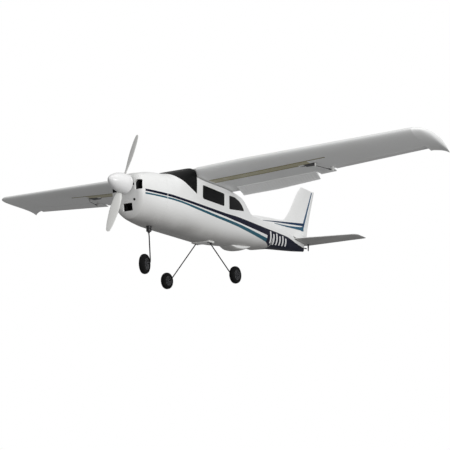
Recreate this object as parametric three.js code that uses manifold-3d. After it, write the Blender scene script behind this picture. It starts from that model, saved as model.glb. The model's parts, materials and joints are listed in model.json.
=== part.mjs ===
// RC foam airplane: a high-wing, four-seat-style trainer of moulded foam, 1.41 m span.
// Millimetres. +X is forward, +Y is towards the left wing, +Z is up. The origin is on the
// ground, under the middle of the airplane's bounding box.
import * as THREE from 'three';
import { mergeVertices } from 'three/addons/utils/BufferGeometryUtils.js';
import Module from 'manifold-3d';

const wasm = await Module();
wasm.setup();

// ---------------------------------------------------------------- driving dimensions
const GAP = 0.35;                    // between pieces that touch
const RAD = Math.PI / 180;

// Fuselage outline, as [x, value] from tail to nose.
const HALF_WIDTH = [[-482, 5], [-449, 10], [-388, 18], [-310, 28], [-146, 45], [28, 62],
  [74, 66], [158, 70], [278, 70], [388, 68], [458, 59], [510, 49]];
const BELLY = [[-482, 198], [-384, 185], [-243, 170], [-158, 160], [-88, 150], [42, 136], [117, 129],
  [168, 127], [260, 127.5], [388, 128], [430, 129.5], [496, 133.5], [510, 139]];
const TOP = [[-482, 232], [-442, 236], [-342, 246], [-242, 250], [-142, 251], [-70, 250],
  [-38, 254], [-8, 274], [20, 289], [88, 292], [300, 304], [322, 295], [350, 285],
  [384, 273], [410, 268], [452, 262], [496, 250], [510, 246]];
const WAIST = [[-482, 214], [-310, 213], [-146, 208], [28, 205], [158, 200], [388, 200], [510, 203]];
const TOP_SQUARE = [[-482, 2.2], [-310, 2.3], [-100, 2.6], [28, 4.2], [300, 9], [388, 3.2], [510, 3.6]];
const BELLY_SQUARE = [[-482, 2.2], [-146, 2.6], [100, 3], [388, 2.8], [510, 2]];
const COWL_X = 418;                  // seam between fuselage and cowl
const COWL_FRONT_X = 510;
const COWL_LIP = 12;                 // radius of the cowl's front edge
const RAKE = { fromX: 440, topZ: 225, lowZ: 139, most: 16 };   // the cowl's face leans back below
const FOAM = 8;                      // wall of the fuselage shell
const COWL_WALL = 3;
const CAVITY_REAR_X = -330;
const BODY_AROUND = 28;              // points round a fuselage section
const THRUST_Z = 219;                // propeller shaft height

// Air outlet fairing under the belly: [x, underside z], and its half width and outlet.
const FAIRING = [[-88, 151], [-52, 137], [-24, 130], [0, 128.5], [14, 131], [40, 138]];
const FAIRING_HALF = 27;
const OUTLET = { x0: -86, x1: -26, half: 12, z0: 139, z1: 165 };

// Nose cowl openings: cheek and chin intakes and screw holes, as [y, z].
const CHEEK = { y: 37.5, half: 9, z0: 202.5, z1: 227 };
const CHIN = { half: 15, z0: 152, z1: 171.5 };
const SCREWS = [[23.5, 178.5], [23, 217]];
const SHAFT_HOLE = 11;

// Wing.
const WING = { rootLe: 318, tipLe: 288, breakY: 215, tipY: 690, rootChord: 230, tipChord: 170,
  rootZ: 289, rise: 24, incidence: 2 * RAD, thickness: 0.12, camber: 0.02, trailing: 1 };
const TIP = [[670, 0, 0, 1, 0], [690, 12, 8, 0.8, 3], [701, 40, 13, 0.55, 7], [706, 95, 16, 0.3, 10]];
const FLAP = { inner: 100, outer: 348, innerHinge: 133, outerHinge: 133, rest: -25 * RAD };
const AILERON = { inner: 396, outer: 662, innerHinge: 149, outerHinge: 166,
  leftRest: 8 * RAD, rightRest: -5 * RAD };
const JOINER = { x: 238, z: 292, radius: 5, reach: 170 };
const STRIPS = { front: [240, 425], rear: [210, 335] };   // x, outer end
const STRIP_ROOT = 76;
const AROUND = 24;                   // points round a wing section
const WING_BOLT = { x: 106, y: 26, radius: 2.5, head: 6, seat: 285.2 };

// Tail.
const FIN_EDGE = [[236, -84], [250, -84], [257, -112], [265, -152], [273, -226], [284, -332],
  [296, -352], [421, -462], [429, -474]];               // [z, leading edge x]
const HINGE_LOW = [-468, 252];
const HINGE_HIGH = [-560, 430];
const RUDDER_TE = [[252, -511], [275, -516], [431, -576]];
const TAILPLANE = { z: 229, rootLe: -388, tipLe: -421, tipY: 212, endY: 227, rootTe: -535,
  tipTe: -509, thickness: 0.06, hinge: -482 };

// Landing gear.
const NOSE_WHEEL = { x: 432, z: 26, radius: 26, width: 15 };
const MAIN_WHEEL = { x: 165, y: 115, z: 24, radius: 24, width: 15 };
const STEER_X = 409;
const STEER_REST = 15 * RAD;         // the nose wheel points a little to port
const WIRE = 1.6;                    // wire radius
const BORE = 0.35;                   // clearance round a wire or shaft

// Spinner, propeller and motor.
const SPINNER = { x: 513.5, length: 62.5, radius: 26, wall: 2.2 };
const BLADE_LEAN = -20 * RAD;
const BLADE = [[6, 9, 0.9, 7], [22, 12, 0.8, 6.5], [40, 20, 0.6, 5], [70, 24, 0.42, 3.6],
  [100, 20, 0.32, 2.6], [120, 13, 0.27, 1.8], [127, 5, 0.25, 1.2]];  // [radius, width, twist, thickness]
const MOTOR = { box: 17, rear: 462, bell: 471, front: 497, end: 532, radius: 14, shaft: 2.5 };

// Equipment, as [x0, x1, y0, y1, z0, z1].
const BATTERY = [290, 394, -17, 17, 138.6, 164];
const SPEED_CONTROLLER = [330, 385, -13, 13, 164.4, 174];
const RECEIVER = [210, 256, -12, 12, 138.5, 152.5];
const FLAP_SERVO = [122.6, 145.6, -5.5, 5.5, 238, 262];
const GEAR_PLATE = [140, 168, -30, 30, 124.5, 131];

// ---------------------------------------------------------------- materials
function plain(color, roughness, metalness = 0) {
  return new THREE.MeshStandardMaterial({ color, roughness, metalness });
}
const foam = plain(0xf4f5f4, 0.55);
const black = plain(0x101114, 0.35);
const blackPlastic = plain(0x17181a, 0.5);
const whitePlastic = plain(0xeceded, 0.35);
const rubber = plain(0x1b1b1c, 0.85);
const greyPlastic = plain(0x4b4d50, 0.5);
const steel = plain(0x8b8e92, 0.35, 0.9);
const darkMetal = plain(0x33353a, 0.35, 0.8);
const copper = plain(0x9a5a2c, 0.4, 0.7);
const plywood = plain(0xc8a878, 0.7);
const strip = plain(0x8a8450, 0.45);
const batteryWrap = plain(0x2a4a86, 0.4);
const heatShrink = plain(0x2b2d70, 0.45);

// ---------------------------------------------------------------- small tools
const group = new THREE.Group();

function addMesh(name, geometry, material, parent = group) {
  const mesh = new THREE.Mesh(geometry, material.clone());
  mesh.name = name;
  parent.add(mesh);
  return mesh;
}

function bare(geometry) {
  const copy = geometry.clone();
  copy.deleteAttribute('normal');
  copy.deleteAttribute('uv');
  return mergeVertices(copy, 1e-4);
}

function flipped(geometry) {
  const index = geometry.index;
  for (let i = 0; i < index.count; i += 3) {
    const first = index.getX(i);
    index.setX(i, index.getX(i + 1));
    index.setX(i + 1, first);
  }
  return geometry;
}

// Faces out: turns every triangle over when the enclosed volume comes out negative.
function outward(geometry) {
  const closed = bare(geometry);
  const place = closed.attributes.position;
  const [a, b, c] = [new THREE.Vector3(), new THREE.Vector3(), new THREE.Vector3()];
  let volume = 0;
  for (let i = 0; i < closed.index.count; i += 3) {
    a.fromBufferAttribute(place, closed.index.getX(i));
    b.fromBufferAttribute(place, closed.index.getX(i + 1));
    c.fromBufferAttribute(place, closed.index.getX(i + 2));
    volume += a.dot(b.cross(c));
  }
  return volume < 0 ? flipped(closed) : closed;
}

function mirrored(geometry) {
  const copy = geometry.clone();
  copy.scale(1, -1, 1);
  return outward(copy);
}

function toSolid(geometry) {
  const closed = outward(geometry);
  return new wasm.Manifold(new wasm.Mesh({
    numProp: 3,
    vertProperties: new Float32Array(closed.attributes.position.array),
    triVerts: new Uint32Array(closed.index.array),
  }));
}

function toGeometry(solid) {
  const mesh = solid.getMesh();
  const geometry = new THREE.BufferGeometry();
  geometry.setAttribute('position', new THREE.BufferAttribute(mesh.vertProperties, 3));
  geometry.setIndex(new THREE.BufferAttribute(mesh.triVerts, 1));
  return geometry;
}

function cut(geometry, ...tools) {
  return toGeometry(tools.reduce((solid, tool) => solid.subtract(toSolid(tool)), toSolid(geometry)));
}

function join(geometry, ...others) {
  return toGeometry(others.reduce((solid, other) => solid.add(toSolid(other)), toSolid(geometry)));
}

function common(geometry, other) {
  return toGeometry(toSolid(geometry).intersect(toSolid(other)));
}

function box(x0, x1, y0, y1, z0, z1) {
  const geometry = new THREE.BoxGeometry(x1 - x0, y1 - y0, z1 - z0);
  return geometry.translate((x0 + x1) / 2, (y0 + y1) / 2, (z0 + z1) / 2);
}

const TURN = { x: [0, 0, -Math.PI / 2], y: [0, 0, 0], z: [Math.PI / 2, 0, 0] };

// A cylinder along the named axis, centred on the given point.
function rod(axis, radius, length, x, y, z, sides = 16) {
  const geometry = new THREE.CylinderGeometry(radius, radius, length, sides);
  geometry.rotateX(TURN[axis][0]);
  geometry.rotateZ(TURN[axis][2]);
  return geometry.translate(x, y, z);
}

// A body of revolution about the named axis. The profile is [radius, distance along the axis].
function turned(profile, sides, axis, x, y, z) {
  const points = profile.map(([r, along]) => new THREE.Vector2(r, along));
  const geometry = new THREE.LatheGeometry(points, sides, Math.PI / sides);
  geometry.rotateX(TURN[axis][0]);
  geometry.rotateZ(TURN[axis][2]);
  return outward(geometry.translate(x, y, z));
}

// A path of straight stretches through the given points.
class Polyline extends THREE.Curve {
  constructor(points) {
    super();
    this.points = points.map(p => new THREE.Vector3(...p));
  }

  getPoint(t) {
    const at = t * (this.points.length - 1);
    const i = Math.min(Math.max(Math.floor(at), 0), this.points.length - 2);
    return this.points[i].clone().lerp(this.points[i + 1], at - i);
  }

  getPointAt(u) {
    return this.getPoint(u);
  }

  getTangentAt(u) {
    const near = 0.02 / this.points.length;
    const [before, after] = [Math.max(u - near, 0), Math.min(u + near, 1)];
    return this.getPoint(after).sub(this.getPoint(before)).normalize();
  }
}

// A round wire of that radius with a bend at each inner point.
function wire(points, radius, sides = 8) {
  const circle = new THREE.Shape().absarc(0, 0, radius, 0, 2 * Math.PI);
  const settings = { steps: points.length - 1, curveSegments: sides / 2, extrudePath: new Polyline(points) };
  return outward(new THREE.ExtrudeGeometry(circle, settings));
}

// An outline in the XZ plane, extruded from y0 to y1.
function slab(outline, y0, y1) {
  const shape = new THREE.Shape(outline.map(([x, z]) => new THREE.Vector2(x, z)));
  const geometry = new THREE.ExtrudeGeometry(shape, { depth: y1 - y0, bevelEnabled: false });
  geometry.rotateX(Math.PI / 2);
  return outward(geometry.translate(0, y1, 0));
}

// An outline in the XY plane, extruded from z0 to z1.
function plate(outline, z0, z1) {
  const shape = new THREE.Shape(outline.map(([x, y]) => new THREE.Vector2(x, y)));
  const geometry = new THREE.ExtrudeGeometry(shape, { depth: z1 - z0, bevelEnabled: false });
  return outward(geometry.translate(0, 0, z0));
}

// A monotone cubic through [x, value] points, so that it never overshoots them.
function smooth(points) {
  const slope = i => (points[i + 1][1] - points[i][1]) / (points[i + 1][0] - points[i][0]);
  const tangent = points.map((point, i) => {
    if (i === 0) return slope(0);
    if (i === points.length - 1) return slope(i - 1);
    const [before, after] = [slope(i - 1), slope(i)];
    return before * after <= 0 ? 0 : 2 * before * after / (before + after);
  });
  return x => {
    let i = 0;
    while (i < points.length - 2 && x > points[i + 1][0]) i += 1;
    const width = points[i + 1][0] - points[i][0];
    const t = Math.min(Math.max((x - points[i][0]) / width, 0), 1);
    const [rise, t2, t3] = [1 - t, t * t, t * t * t];
    return points[i][1] * (1 + 2 * t) * rise * rise + points[i + 1][1] * (3 * t2 - 2 * t3)
      + width * (tangent[i] * t * rise * rise + tangent[i + 1] * (t3 - t2));
  };
}

// A closed body lofted through stations: section(station, angle) gives the skin's point.
function loft(stations, around, section, offset = 0) {
  const last = stations.length - 1;
  const geometry = new THREE.CylinderGeometry(1, 1, 1, around, last, false, offset);
  const place = geometry.attributes.position;
  for (let i = 0; i < place.count; i += 1) {
    const station = stations[Math.round((0.5 - place.getY(i)) * last)];
    const angle = Math.atan2(place.getZ(i), place.getX(i));
    const onAxis = Math.hypot(place.getX(i), place.getZ(i)) < 0.5;
    const skin = section(station, onAxis ? 0 : angle);
    if (onAxis) skin.add(section(station, Math.PI)).multiplyScalar(0.5);
    place.setXYZ(i, skin.x, skin.y, skin.z);
  }
  return outward(geometry);
}

// ---------------------------------------------------------------- fuselage
const halfWidth = smooth(HALF_WIDTH);
const belly = smooth(BELLY);
const top = smooth(TOP);
const waist = smooth(WAIST);
const topSquare = smooth(TOP_SQUARE);
const bellySquare = smooth(BELLY_SQUARE);

// How far the skin draws in at the cowl's rounded front edge.
function frontInset(x) {
  const into = (x - (COWL_FRONT_X - COWL_LIP)) / COWL_LIP;
  return into <= 0 ? 0 : COWL_LIP * (1 - Math.sqrt(Math.max(1 - into * into, 0)));
}

function hullPoint(x, angle, wall) {
  const inset = wall + frontInset(x + Math.max(wall, 0));
  const [c, s] = [Math.cos(angle), Math.sin(angle)].map(v => (Math.abs(v) < 1e-9 ? 0 : v));
  const power = 2 / (s > 0 ? topSquare(x) : bellySquare(x));
  const height = s > 0 ? top(x) - inset - waist(x) : waist(x) - belly(x) - inset;
  const y = (halfWidth(x) - inset) * Math.sign(c) * Math.abs(c) ** power;
  const z = waist(x) + height * Math.sign(s) * Math.abs(s) ** power;
  return new THREE.Vector3(x, y, z);
}

function hull(stations, wall, around = BODY_AROUND) {
  return loft(stations, around, (x, angle) => hullPoint(x, angle, wall));
}

const fairingUnderside = smooth(FAIRING);

// The fairing's sections: flat-bottomed, and sunk into the belly above.
function fairingPoint(x, angle) {
  const [c, s] = [Math.cos(angle), Math.sin(angle)];
  const [low, high] = [fairingUnderside(x), belly(x) + 4];
  const middle = (low + high) / 2;
  const z = middle + (high - low) / 2 * Math.sign(s) * Math.abs(s) ** 0.6;
  const half = FAIRING_HALF * (s < 0 ? 1 - 0.25 * s * s : 1);
  return new THREE.Vector3(x, half * Math.sign(c) * Math.abs(c) ** 0.6, z);
}

const BODY_STATIONS = [-482, -440, -388, -320, -240, -150, -80, -40, -8, 24, 88, 160, 240, 300,
  320, 350, 384, COWL_X];
const CAVITY_STATIONS = [CAVITY_REAR_X, -240, -150, -80, -10, 30, 100, 200, 300, 350, 384, COWL_X + 1];

// A cowl section, or a ring of the cowl's face where shrink is under 1.
function cowlPoint([x, shrink = 1], angle, wall) {
  const point = hullPoint(x, angle, wall);
  point.y *= shrink;
  point.z = waist(x) + (point.z - waist(x)) * shrink;
  const into = Math.max((x - RAKE.fromX) / (COWL_FRONT_X - RAKE.fromX), 0);
  const below = Math.max((RAKE.topZ - point.z) / (RAKE.topZ - RAKE.lowZ), 0);
  point.x -= RAKE.most * into ** 2 * below ** 1.3;
  return point;
}

function cowlSkin(stations, wall) {
  return loft(stations, BODY_AROUND, (station, angle) => cowlPoint(station, angle, wall));
}


// Side outline of the windscreen, which is the battery hatch. It lifts off forwards and up at
// 45 degrees, and its top reaches back into a notch in the wing's nose.
const GLASS = [[291, 232], [367, 260], [386, 274], [386, 330], [291, 330]];
const NOTCH = [[290.3, 71.5], [325, 88], [325, -88], [290.3, -71.5]];

function grown(outline, by) {
  const centre = [0, 1].map(k => outline.reduce((sum, p) => sum + p[k], 0) / outline.length);
  return outline.map(([x, z]) => [x + by * Math.sign(x - centre[0]), z + by * Math.sign(z - centre[1])]);
}

const WINDOWS = {
  front: [[258, 225], [262, 229], [262, 263], [153, 262], [151, 260], [151, 226]],
  rear: [[122, 223], [122, 263], [84, 266], [54, 259], [38, 249], [28, 239], [30, 236]],
};

// The wing's root section, for the saddle.
function rootSection(extra) {
  const lower = [];
  for (let k = 0; k < AROUND / 2; k += 1) {
    const c = (1 - Math.cos(2 * Math.PI * (k + 0.5) / AROUND)) / 2;
    lower.push([wingX(0, c) + 2 * extra * (1 - c) ** 8, wingZ(0, c, -1) - extra]);
  }
  const [front, rear] = [WING.rootLe + 2 * extra, WING.rootLe - WING.rootChord - extra];
  return [[front, WING.rootZ], ...lower, [rear, lower.at(-1)[1]], [rear, 340], [front, 340]];
}

// ---------------------------------------------------------------- wing surfaces
function chordAt(y) {
  if (y <= WING.breakY) return WING.rootChord;
  const out = (y - WING.breakY) / (WING.tipY - WING.breakY);
  return WING.rootChord + (WING.tipChord - WING.rootChord) * out;
}

function leadingAt(y) {
  if (y <= WING.breakY) return WING.rootLe;
  return WING.rootLe + (WING.tipLe - WING.rootLe) * (y - WING.breakY) / (WING.tipY - WING.breakY);
}

function halfThickness(c) {
  return 5 * (0.2969 * Math.sqrt(c) - 0.126 * c - 0.3516 * c * c + 0.2843 * c ** 3 - 0.1036 * c ** 4);
}

function wingX(y, c) {
  return leadingAt(y) - chordAt(y) * c * Math.cos(WING.incidence);
}

function wingZ(y, c, side, thin = 1, droop = 0) {
  const chord = chordAt(y);
  const camber = 4 * WING.camber * c * (1 - c) * chord;
  const half = Math.max(WING.thickness * halfThickness(c) * chord * thin, WING.trailing * c);
  const rise = WING.rise * y / WING.tipY - chord * c * Math.sin(WING.incidence);
  return WING.rootZ + rise - droop + camber + side * half;
}

// TIP rows give, out from the last full section: y, leading edge cut, trailing edge growth,
// thickness left and droop.
function wingSkin([y, nose = 0, grow = 0, thin = 1, droop = 0], angle) {
  const c = (1 + Math.cos(angle)) / 2;
  const side = Math.sign(Math.sin(angle));
  const x = wingX(y, c) - nose * (1 - c) - grow * c;
  return new THREE.Vector3(x, y, wingZ(y, c, side, thin, droop * c));
}

function wingPanel() {
  const stations = [[GAP / 2], [STRIP_ROOT], [WING.breakY], ...TIP];
  return loft(stations, AROUND, wingSkin, Math.PI / AROUND);
}

function lowerZ(x, y) {
  const c = (leadingAt(y) - x) / chordAt(y) / Math.cos(WING.incidence);
  return wingZ(y, c, -1);
}

// A strip under the wing that follows the lower skin.
function sparStrip([x, end], grow) {
  const geometry = new THREE.BoxGeometry(6 + 2 * grow, 1, 1.6 + grow, 1, 4, 1);
  const place = geometry.attributes.position;
  for (let i = 0; i < place.count; i += 1) {
    const y = STRIP_ROOT - grow + (place.getY(i) + 0.5) * (end - STRIP_ROOT + 2 * grow);
    const up = place.getZ(i) > 0 ? 1.4 + grow : -0.2 - grow * 8;
    place.setXYZ(i, x + place.getX(i), y, lowerZ(x, y) + up);
  }
  return outward(geometry);
}

function hingeX(surface, y) {
  const out = (y - surface.inner) / (surface.outer - surface.inner);
  return surface.innerHinge + (surface.outerHinge - surface.innerHinge) * out;
}

function hingePoint(surface, y) {
  const x = hingeX(surface, y);
  const c = (leadingAt(y) - x) / chordAt(y) / Math.cos(WING.incidence);
  return new THREE.Vector3(x, y, (wingZ(y, c, 1) + wingZ(y, c, -1)) / 2);
}

// Skin of a hinged surface with a wedge-shaped nose, so that it clears the wing's rear wall.
const WEDGE = 1.1;
function surfaceSkin(surface, y, angle) {
  const hinge = hingePoint(surface, y);
  const trailing = wingX(y, 1);
  const x = hinge.x - (hinge.x - trailing) * (1 - Math.cos(angle)) / 2;
  const c = (leadingAt(y) - x) / chordAt(y) / Math.cos(WING.incidence);
  const middle = (wingZ(y, c, 1) + wingZ(y, c, -1)) / 2;
  const half = Math.min((wingZ(y, c, 1) - wingZ(y, c, -1)) / 2, 0.3 + (hinge.x - x) * WEDGE);
  return new THREE.Vector3(x, y, middle + Math.sign(Math.sin(angle)) * half);
}

function hingedSurface(surface, extra = []) {
  const stations = [surface.inner + GAP, (surface.inner + surface.outer) / 2, surface.outer - GAP];
  const skin = loft(stations, 16, (y, angle) => surfaceSkin(surface, y, angle), Math.PI / 16);
  return extra.length ? join(skin, ...extra) : skin;
}

// A point on a surface's hinge line, also beyond its ends.
function onHingeLine(surface, y) {
  const inner = hingePoint(surface, surface.inner);
  const along = (y - surface.inner) / (surface.outer - surface.inner);
  return inner.lerp(hingePoint(surface, surface.outer), along).toArray();
}

function surfaceBay(surface) {
  const [inner, outer] = [surface.inner, surface.outer];
  const outline = [[hingeX(surface, inner) + 0.6, inner - GAP], [hingeX(surface, outer) + 0.6, outer + GAP],
    [60, outer + GAP], [60, inner - GAP]];
  return plate(outline, 260, 340);
}

// Hangs a hinged piece on its hinge line, turned to its rest angle.
function hang(name, geometry, material, surface, angle, side) {
  const inner = hingePoint(surface, surface.inner);
  const axis = hingePoint(surface, surface.outer).sub(inner).normalize();
  inner.y *= side;
  axis.y *= side;
  if (side < 0) axis.negate();
  const local = side < 0 ? mirrored(geometry) : geometry.clone();
  const mesh = addMesh(name, local.translate(-inner.x, -inner.y, -inner.z), material);
  mesh.position.copy(inner);
  mesh.quaternion.setFromAxisAngle(axis, angle);
}

// ---------------------------------------------------------------- wing and its fittings
const SERVO = { x0: 190, x1: 214, y0: 350, y1: 378, deep: 12 };
const servoSkin = lowerZ((SERVO.x0 + SERVO.x1) / 2, SERVO.y1);
const ARM = { x: 207, y: 382, radius: 13 };
const armZ = servoSkin + 4;
const HORN = { y: 404, drop: 15 };

function servoBody(grow) {
  return box(SERVO.x0 - grow, SERVO.x1 + grow, SERVO.y0 - grow, SERVO.y1 + grow,
    servoSkin - 1.5 - 8 * grow, servoSkin + SERVO.deep + grow);
}

function servoArm() {
  const lever = box(ARM.x - 2, ARM.x + 2, ARM.y, ARM.y + 1.6, armZ - ARM.radius, armZ);
  return join(rod('y', 3.5, 4.4, ARM.x, ARM.y + 0.6, armZ, 12), lever);
}

function armBay() {
  return box(ARM.x - 8, ARM.x + 8, SERVO.y1, ARM.y + 5, armZ - 30, armZ + 6);
}

const hornHinge = hingePoint(AILERON, HORN.y);
function aileronHorn() {
  const at = hornHinge;
  return slab([[at.x - 2, at.z + 1], [at.x - 12, at.z + 1], [at.x - 5, at.z - HORN.drop - 3],
    [at.x - 1, at.z - HORN.drop - 3]], HORN.y - 1, HORN.y + 1);
}

const wingTools = [plate(NOTCH, 240, 340), surfaceBay(FLAP), surfaceBay(AILERON),
  sparStrip(STRIPS.front, GAP),
  sparStrip(STRIPS.rear, GAP), servoBody(GAP), armBay(),
  rod('y', JOINER.radius + GAP, 2 * (JOINER.reach + 1), JOINER.x, 0, JOINER.z, 12),
  rod('z', WING_BOLT.radius + GAP, 80, WING_BOLT.x, WING_BOLT.y, 280, 12),
  rod('z', WING_BOLT.head + GAP, 20, WING_BOLT.x, WING_BOLT.y, WING_BOLT.seat - GAP + 10, 12)];
const leftPanel = cut(wingPanel(), ...wingTools);
const aileron = hingedSurface(AILERON, [aileronHorn()]);
const flap = hingedSurface(FLAP);

// The torque rod that turns a flap: along the hinge line into the cabin, then a crank.
const ROD = 1.2;
const CRANK = { y: 12, drop: 20 };
const crankTop = onHingeLine(FLAP, CRANK.y);
const rodWire = wire([onHingeLine(FLAP, FLAP.inner + 40), onHingeLine(FLAP, CRANK.y + 3),
  [crankTop[0], CRANK.y, crankTop[2] - 3], [crankTop[0], CRANK.y, crankTop[2] - CRANK.drop]], ROD, 6);
const rodTunnel = wire([onHingeLine(FLAP, FLAP.inner + 42), onHingeLine(FLAP, CRANK.y)], ROD + BORE, 8);
const rodPassage = wire([onHingeLine(FLAP, FLAP.inner + 42), onHingeLine(FLAP, CRANK.y - 2)], ROD + 1.2, 8);
const crankBay = box(crankTop[0] - 14, crankTop[0] + 14, CRANK.y - 5, CRANK.y + 6,
  crankTop[2] - 40, crankTop[2] + 3);

const leftWing = cut(leftPanel, rodPassage, crankBay);
addMesh('wing_left', leftWing, foam);
addMesh('wing_right', mirrored(leftWing), foam);
const leftFlap = cut(flap, rodTunnel);
for (const [side, word] of [[1, 'left'], [-1, 'right']]) {
  const mirror = geometry => (side > 0 ? geometry : mirrored(geometry));
  const rest = side > 0 ? AILERON.leftRest : AILERON.rightRest;
  hang(`aileron_${word}`, aileron, foam, AILERON, rest, side);
  hang(`flap_${word}`, leftFlap, foam, FLAP, FLAP.rest, side);
  hang(`flap_torque_rod_${word}`, rodWire, steel, FLAP, FLAP.rest, side);
  addMesh(`spar_strip_front_${word}`, mirror(sparStrip(STRIPS.front, 0)), strip);
  addMesh(`spar_strip_rear_${word}`, mirror(sparStrip(STRIPS.rear, 0)), strip);
  addMesh(`aileron_servo_${word}`, mirror(servoBody(0)), black);
  addMesh(`aileron_servo_arm_${word}`, mirror(servoArm()), whitePlastic);
  // The pushrod runs from the servo arm's end to the horn's end, just clear of both.
  const rest3 = new THREE.Vector3(-3, 0, -HORN.drop).applyAxisAngle(new THREE.Vector3(0, 1, 0), rest);
  const from = [ARM.x - 3, ARM.y + 4, armZ - ARM.radius + 2];
  const to = [hornHinge.x + rest3.x + 3, HORN.y - 3, hornHinge.z + rest3.z];
  addMesh(`aileron_pushrod_${word}`, mirror(wire([from, to], 0.8, 6)), steel);
  const bolt = turned([[0, 4], [WING_BOLT.head, 4], [WING_BOLT.head, 0], [WING_BOLT.radius, 0],
    [WING_BOLT.radius, -28], [0, -28]], 12, 'z', WING_BOLT.x, WING_BOLT.y, WING_BOLT.seat);
  addMesh(`wing_bolt_${word}`, mirror(bolt), whitePlastic);
}
addMesh('wing_joiner_tube', cut(rod('y', JOINER.radius, 2 * JOINER.reach, JOINER.x, 0, JOINER.z, 12),
  rod('y', JOINER.radius - 1, 2 * JOINER.reach + 2, JOINER.x, 0, JOINER.z, 12)), blackPlastic);

// ---------------------------------------------------------------- fuselage shells
const outerSkin = hull(BODY_STATIONS, 0);
const cavity = hull(CAVITY_STATIONS, FOAM, 20);
const fairing = loft([-84, -68, -52, -38, -24, -10, 0, 14, 28, 38], 16, fairingPoint, Math.PI / 16);
const saddle = cut(slab(rootSection(GAP), -90, 90), box(GLASS[0][0] - GAP, 340, -91, 91, 200, 400));
// The foam bridge that the wing bolts screw into.
const bridge = common(box(92, 122, -90, 90, 254, 300), outerSkin);
const shell = cut(join(cut(join(outerSkin, fairing), cavity), bridge), saddle);
const glassBlock = slab(GLASS, -90, 90);
addMesh('windscreen_hatch', common(shell, glassBlock), black);

// Recesses and inserts of the side windows.
const WINDOW_DEEP = 1.6;
const CABIN_STATIONS = BODY_STATIONS.slice(8);
const windowSkin = cut(outerSkin, hull(CABIN_STATIONS, WINDOW_DEEP));
const recessSkin = cut(hull(BODY_STATIONS, -1), hull(CABIN_STATIONS, WINDOW_DEEP + GAP));
const recesses = [];
for (const [word, outline] of Object.entries(WINDOWS)) {
  const pane = common(slab(outline, 40, 90), windowSkin);
  addMesh(`side_window_${word}_left`, pane, black);
  addMesh(`side_window_${word}_right`, mirrored(pane), black);
  recesses.push(common(slab(grown(outline, GAP), 40, 90), recessSkin));
}

// Tailplane seat, gear and pushrod openings.
const seat = box(-500, -384, -30, 30, TAILPLANE.z - 5, 260);
const noseGearHole = rod('z', 7 + GAP, 60, STEER_X, 0, 130, 16);
const [plateX0, plateX1, plateY0, plateY1, , plateTop] = GEAR_PLATE;
const gearPlateRecess = box(plateX0 - GAP, plateX1 + GAP, plateY0 - GAP, plateY1 + GAP, 110, plateTop + GAP);
const boltWell = rod('z', WING_BOLT.radius + GAP, 60, WING_BOLT.x, WING_BOLT.y, 262, 12);
const airOutlet = box(OUTLET.x0, OUTLET.x1, -OUTLET.half, OUTLET.half, OUTLET.z0, OUTLET.z1);
const halfTools = [slab(grown(GLASS, GAP), -90, 90), ...recesses, seat, noseGearHole, gearPlateRecess,
  boltWell, airOutlet, rodPassage, crankBay];
const half = cut(shell, box(-600, 600, -200, GAP / 2, 0, 400), ...halfTools);

// Straight pushrods from the tail servos' arms to the horns, in open tunnels through the foam.
const TAIL_SERVO = { x: 40, y: 20, z: 147.5 };
const TAIL_ARM = { x: TAIL_SERVO.x + 6, z: TAIL_SERVO.z + 28.4, reach: 14 };
const PUSHROD = 1;
const elevatorRoute = [[TAIL_ARM.x - 3, 7, TAIL_ARM.z + 5], [-485, 13, 208]];
const rudderRoute = [[TAIL_ARM.x - 3, -7, TAIL_ARM.z + 5], [-479, -19, 258]];
addMesh('elevator_pushrod', wire(elevatorRoute, PUSHROD, 6), steel);
addMesh('rudder_pushrod', wire(rudderRoute, PUSHROD, 6), steel);
addMesh('fuselage_left', cut(half, wire(elevatorRoute, PUSHROD + 1, 8)), foam);
addMesh('fuselage_right', cut(mirrored(half), wire(rudderRoute, PUSHROD + 1, 8)), foam);

// ---------------------------------------------------------------- cowl
const cowlFront = COWL_FRONT_X - 0.4;
const cowlOuter = cowlSkin([[COWL_X + GAP], [440], [462], [484], [498], [504], [508], [cowlFront],
  [cowlFront, 0.75], [cowlFront, 0.5], [cowlFront, 0.25]], 0);
const innerFront = COWL_FRONT_X - COWL_WALL - 3;
const cowlInner = cowlSkin([[COWL_X - 1], [440], [462], [484], [498], [innerFront], [innerFront, 0.75],
  [innerFront, 0.5], [innerFront, 0.25]], COWL_WALL);
const cheeks = [CHEEK.y, -CHEEK.y].map(y =>
  box(470, 520, y - CHEEK.half, y + CHEEK.half, CHEEK.z0, CHEEK.z1));
const chin = box(480, 520, -CHIN.half, CHIN.half, CHIN.z0, CHIN.z1);
const shaftHole = rod('x', SHAFT_HOLE, 40, 505, 0, THRUST_Z, 20);
const screwHoles = SCREWS.flatMap(([y, z]) => [y, -y].map(side => rod('x', 2.6, 30, 505, side, z, 10)));
addMesh('nose_cowl', cut(cowlOuter, cowlInner, ...cheeks, chin, shaftHole, ...screwHoles), foam);

// ---------------------------------------------------------------- fin, rudder, tailplane
const finLeading = smooth(FIN_EDGE);
const rudderTrailing = smooth(RUDDER_TE);
function hingeAt(z) {
  const up = (z - HINGE_LOW[1]) / (HINGE_HIGH[1] - HINGE_LOW[1]);
  return HINGE_LOW[0] + (HINGE_HIGH[0] - HINGE_LOW[0]) * up;
}

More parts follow.
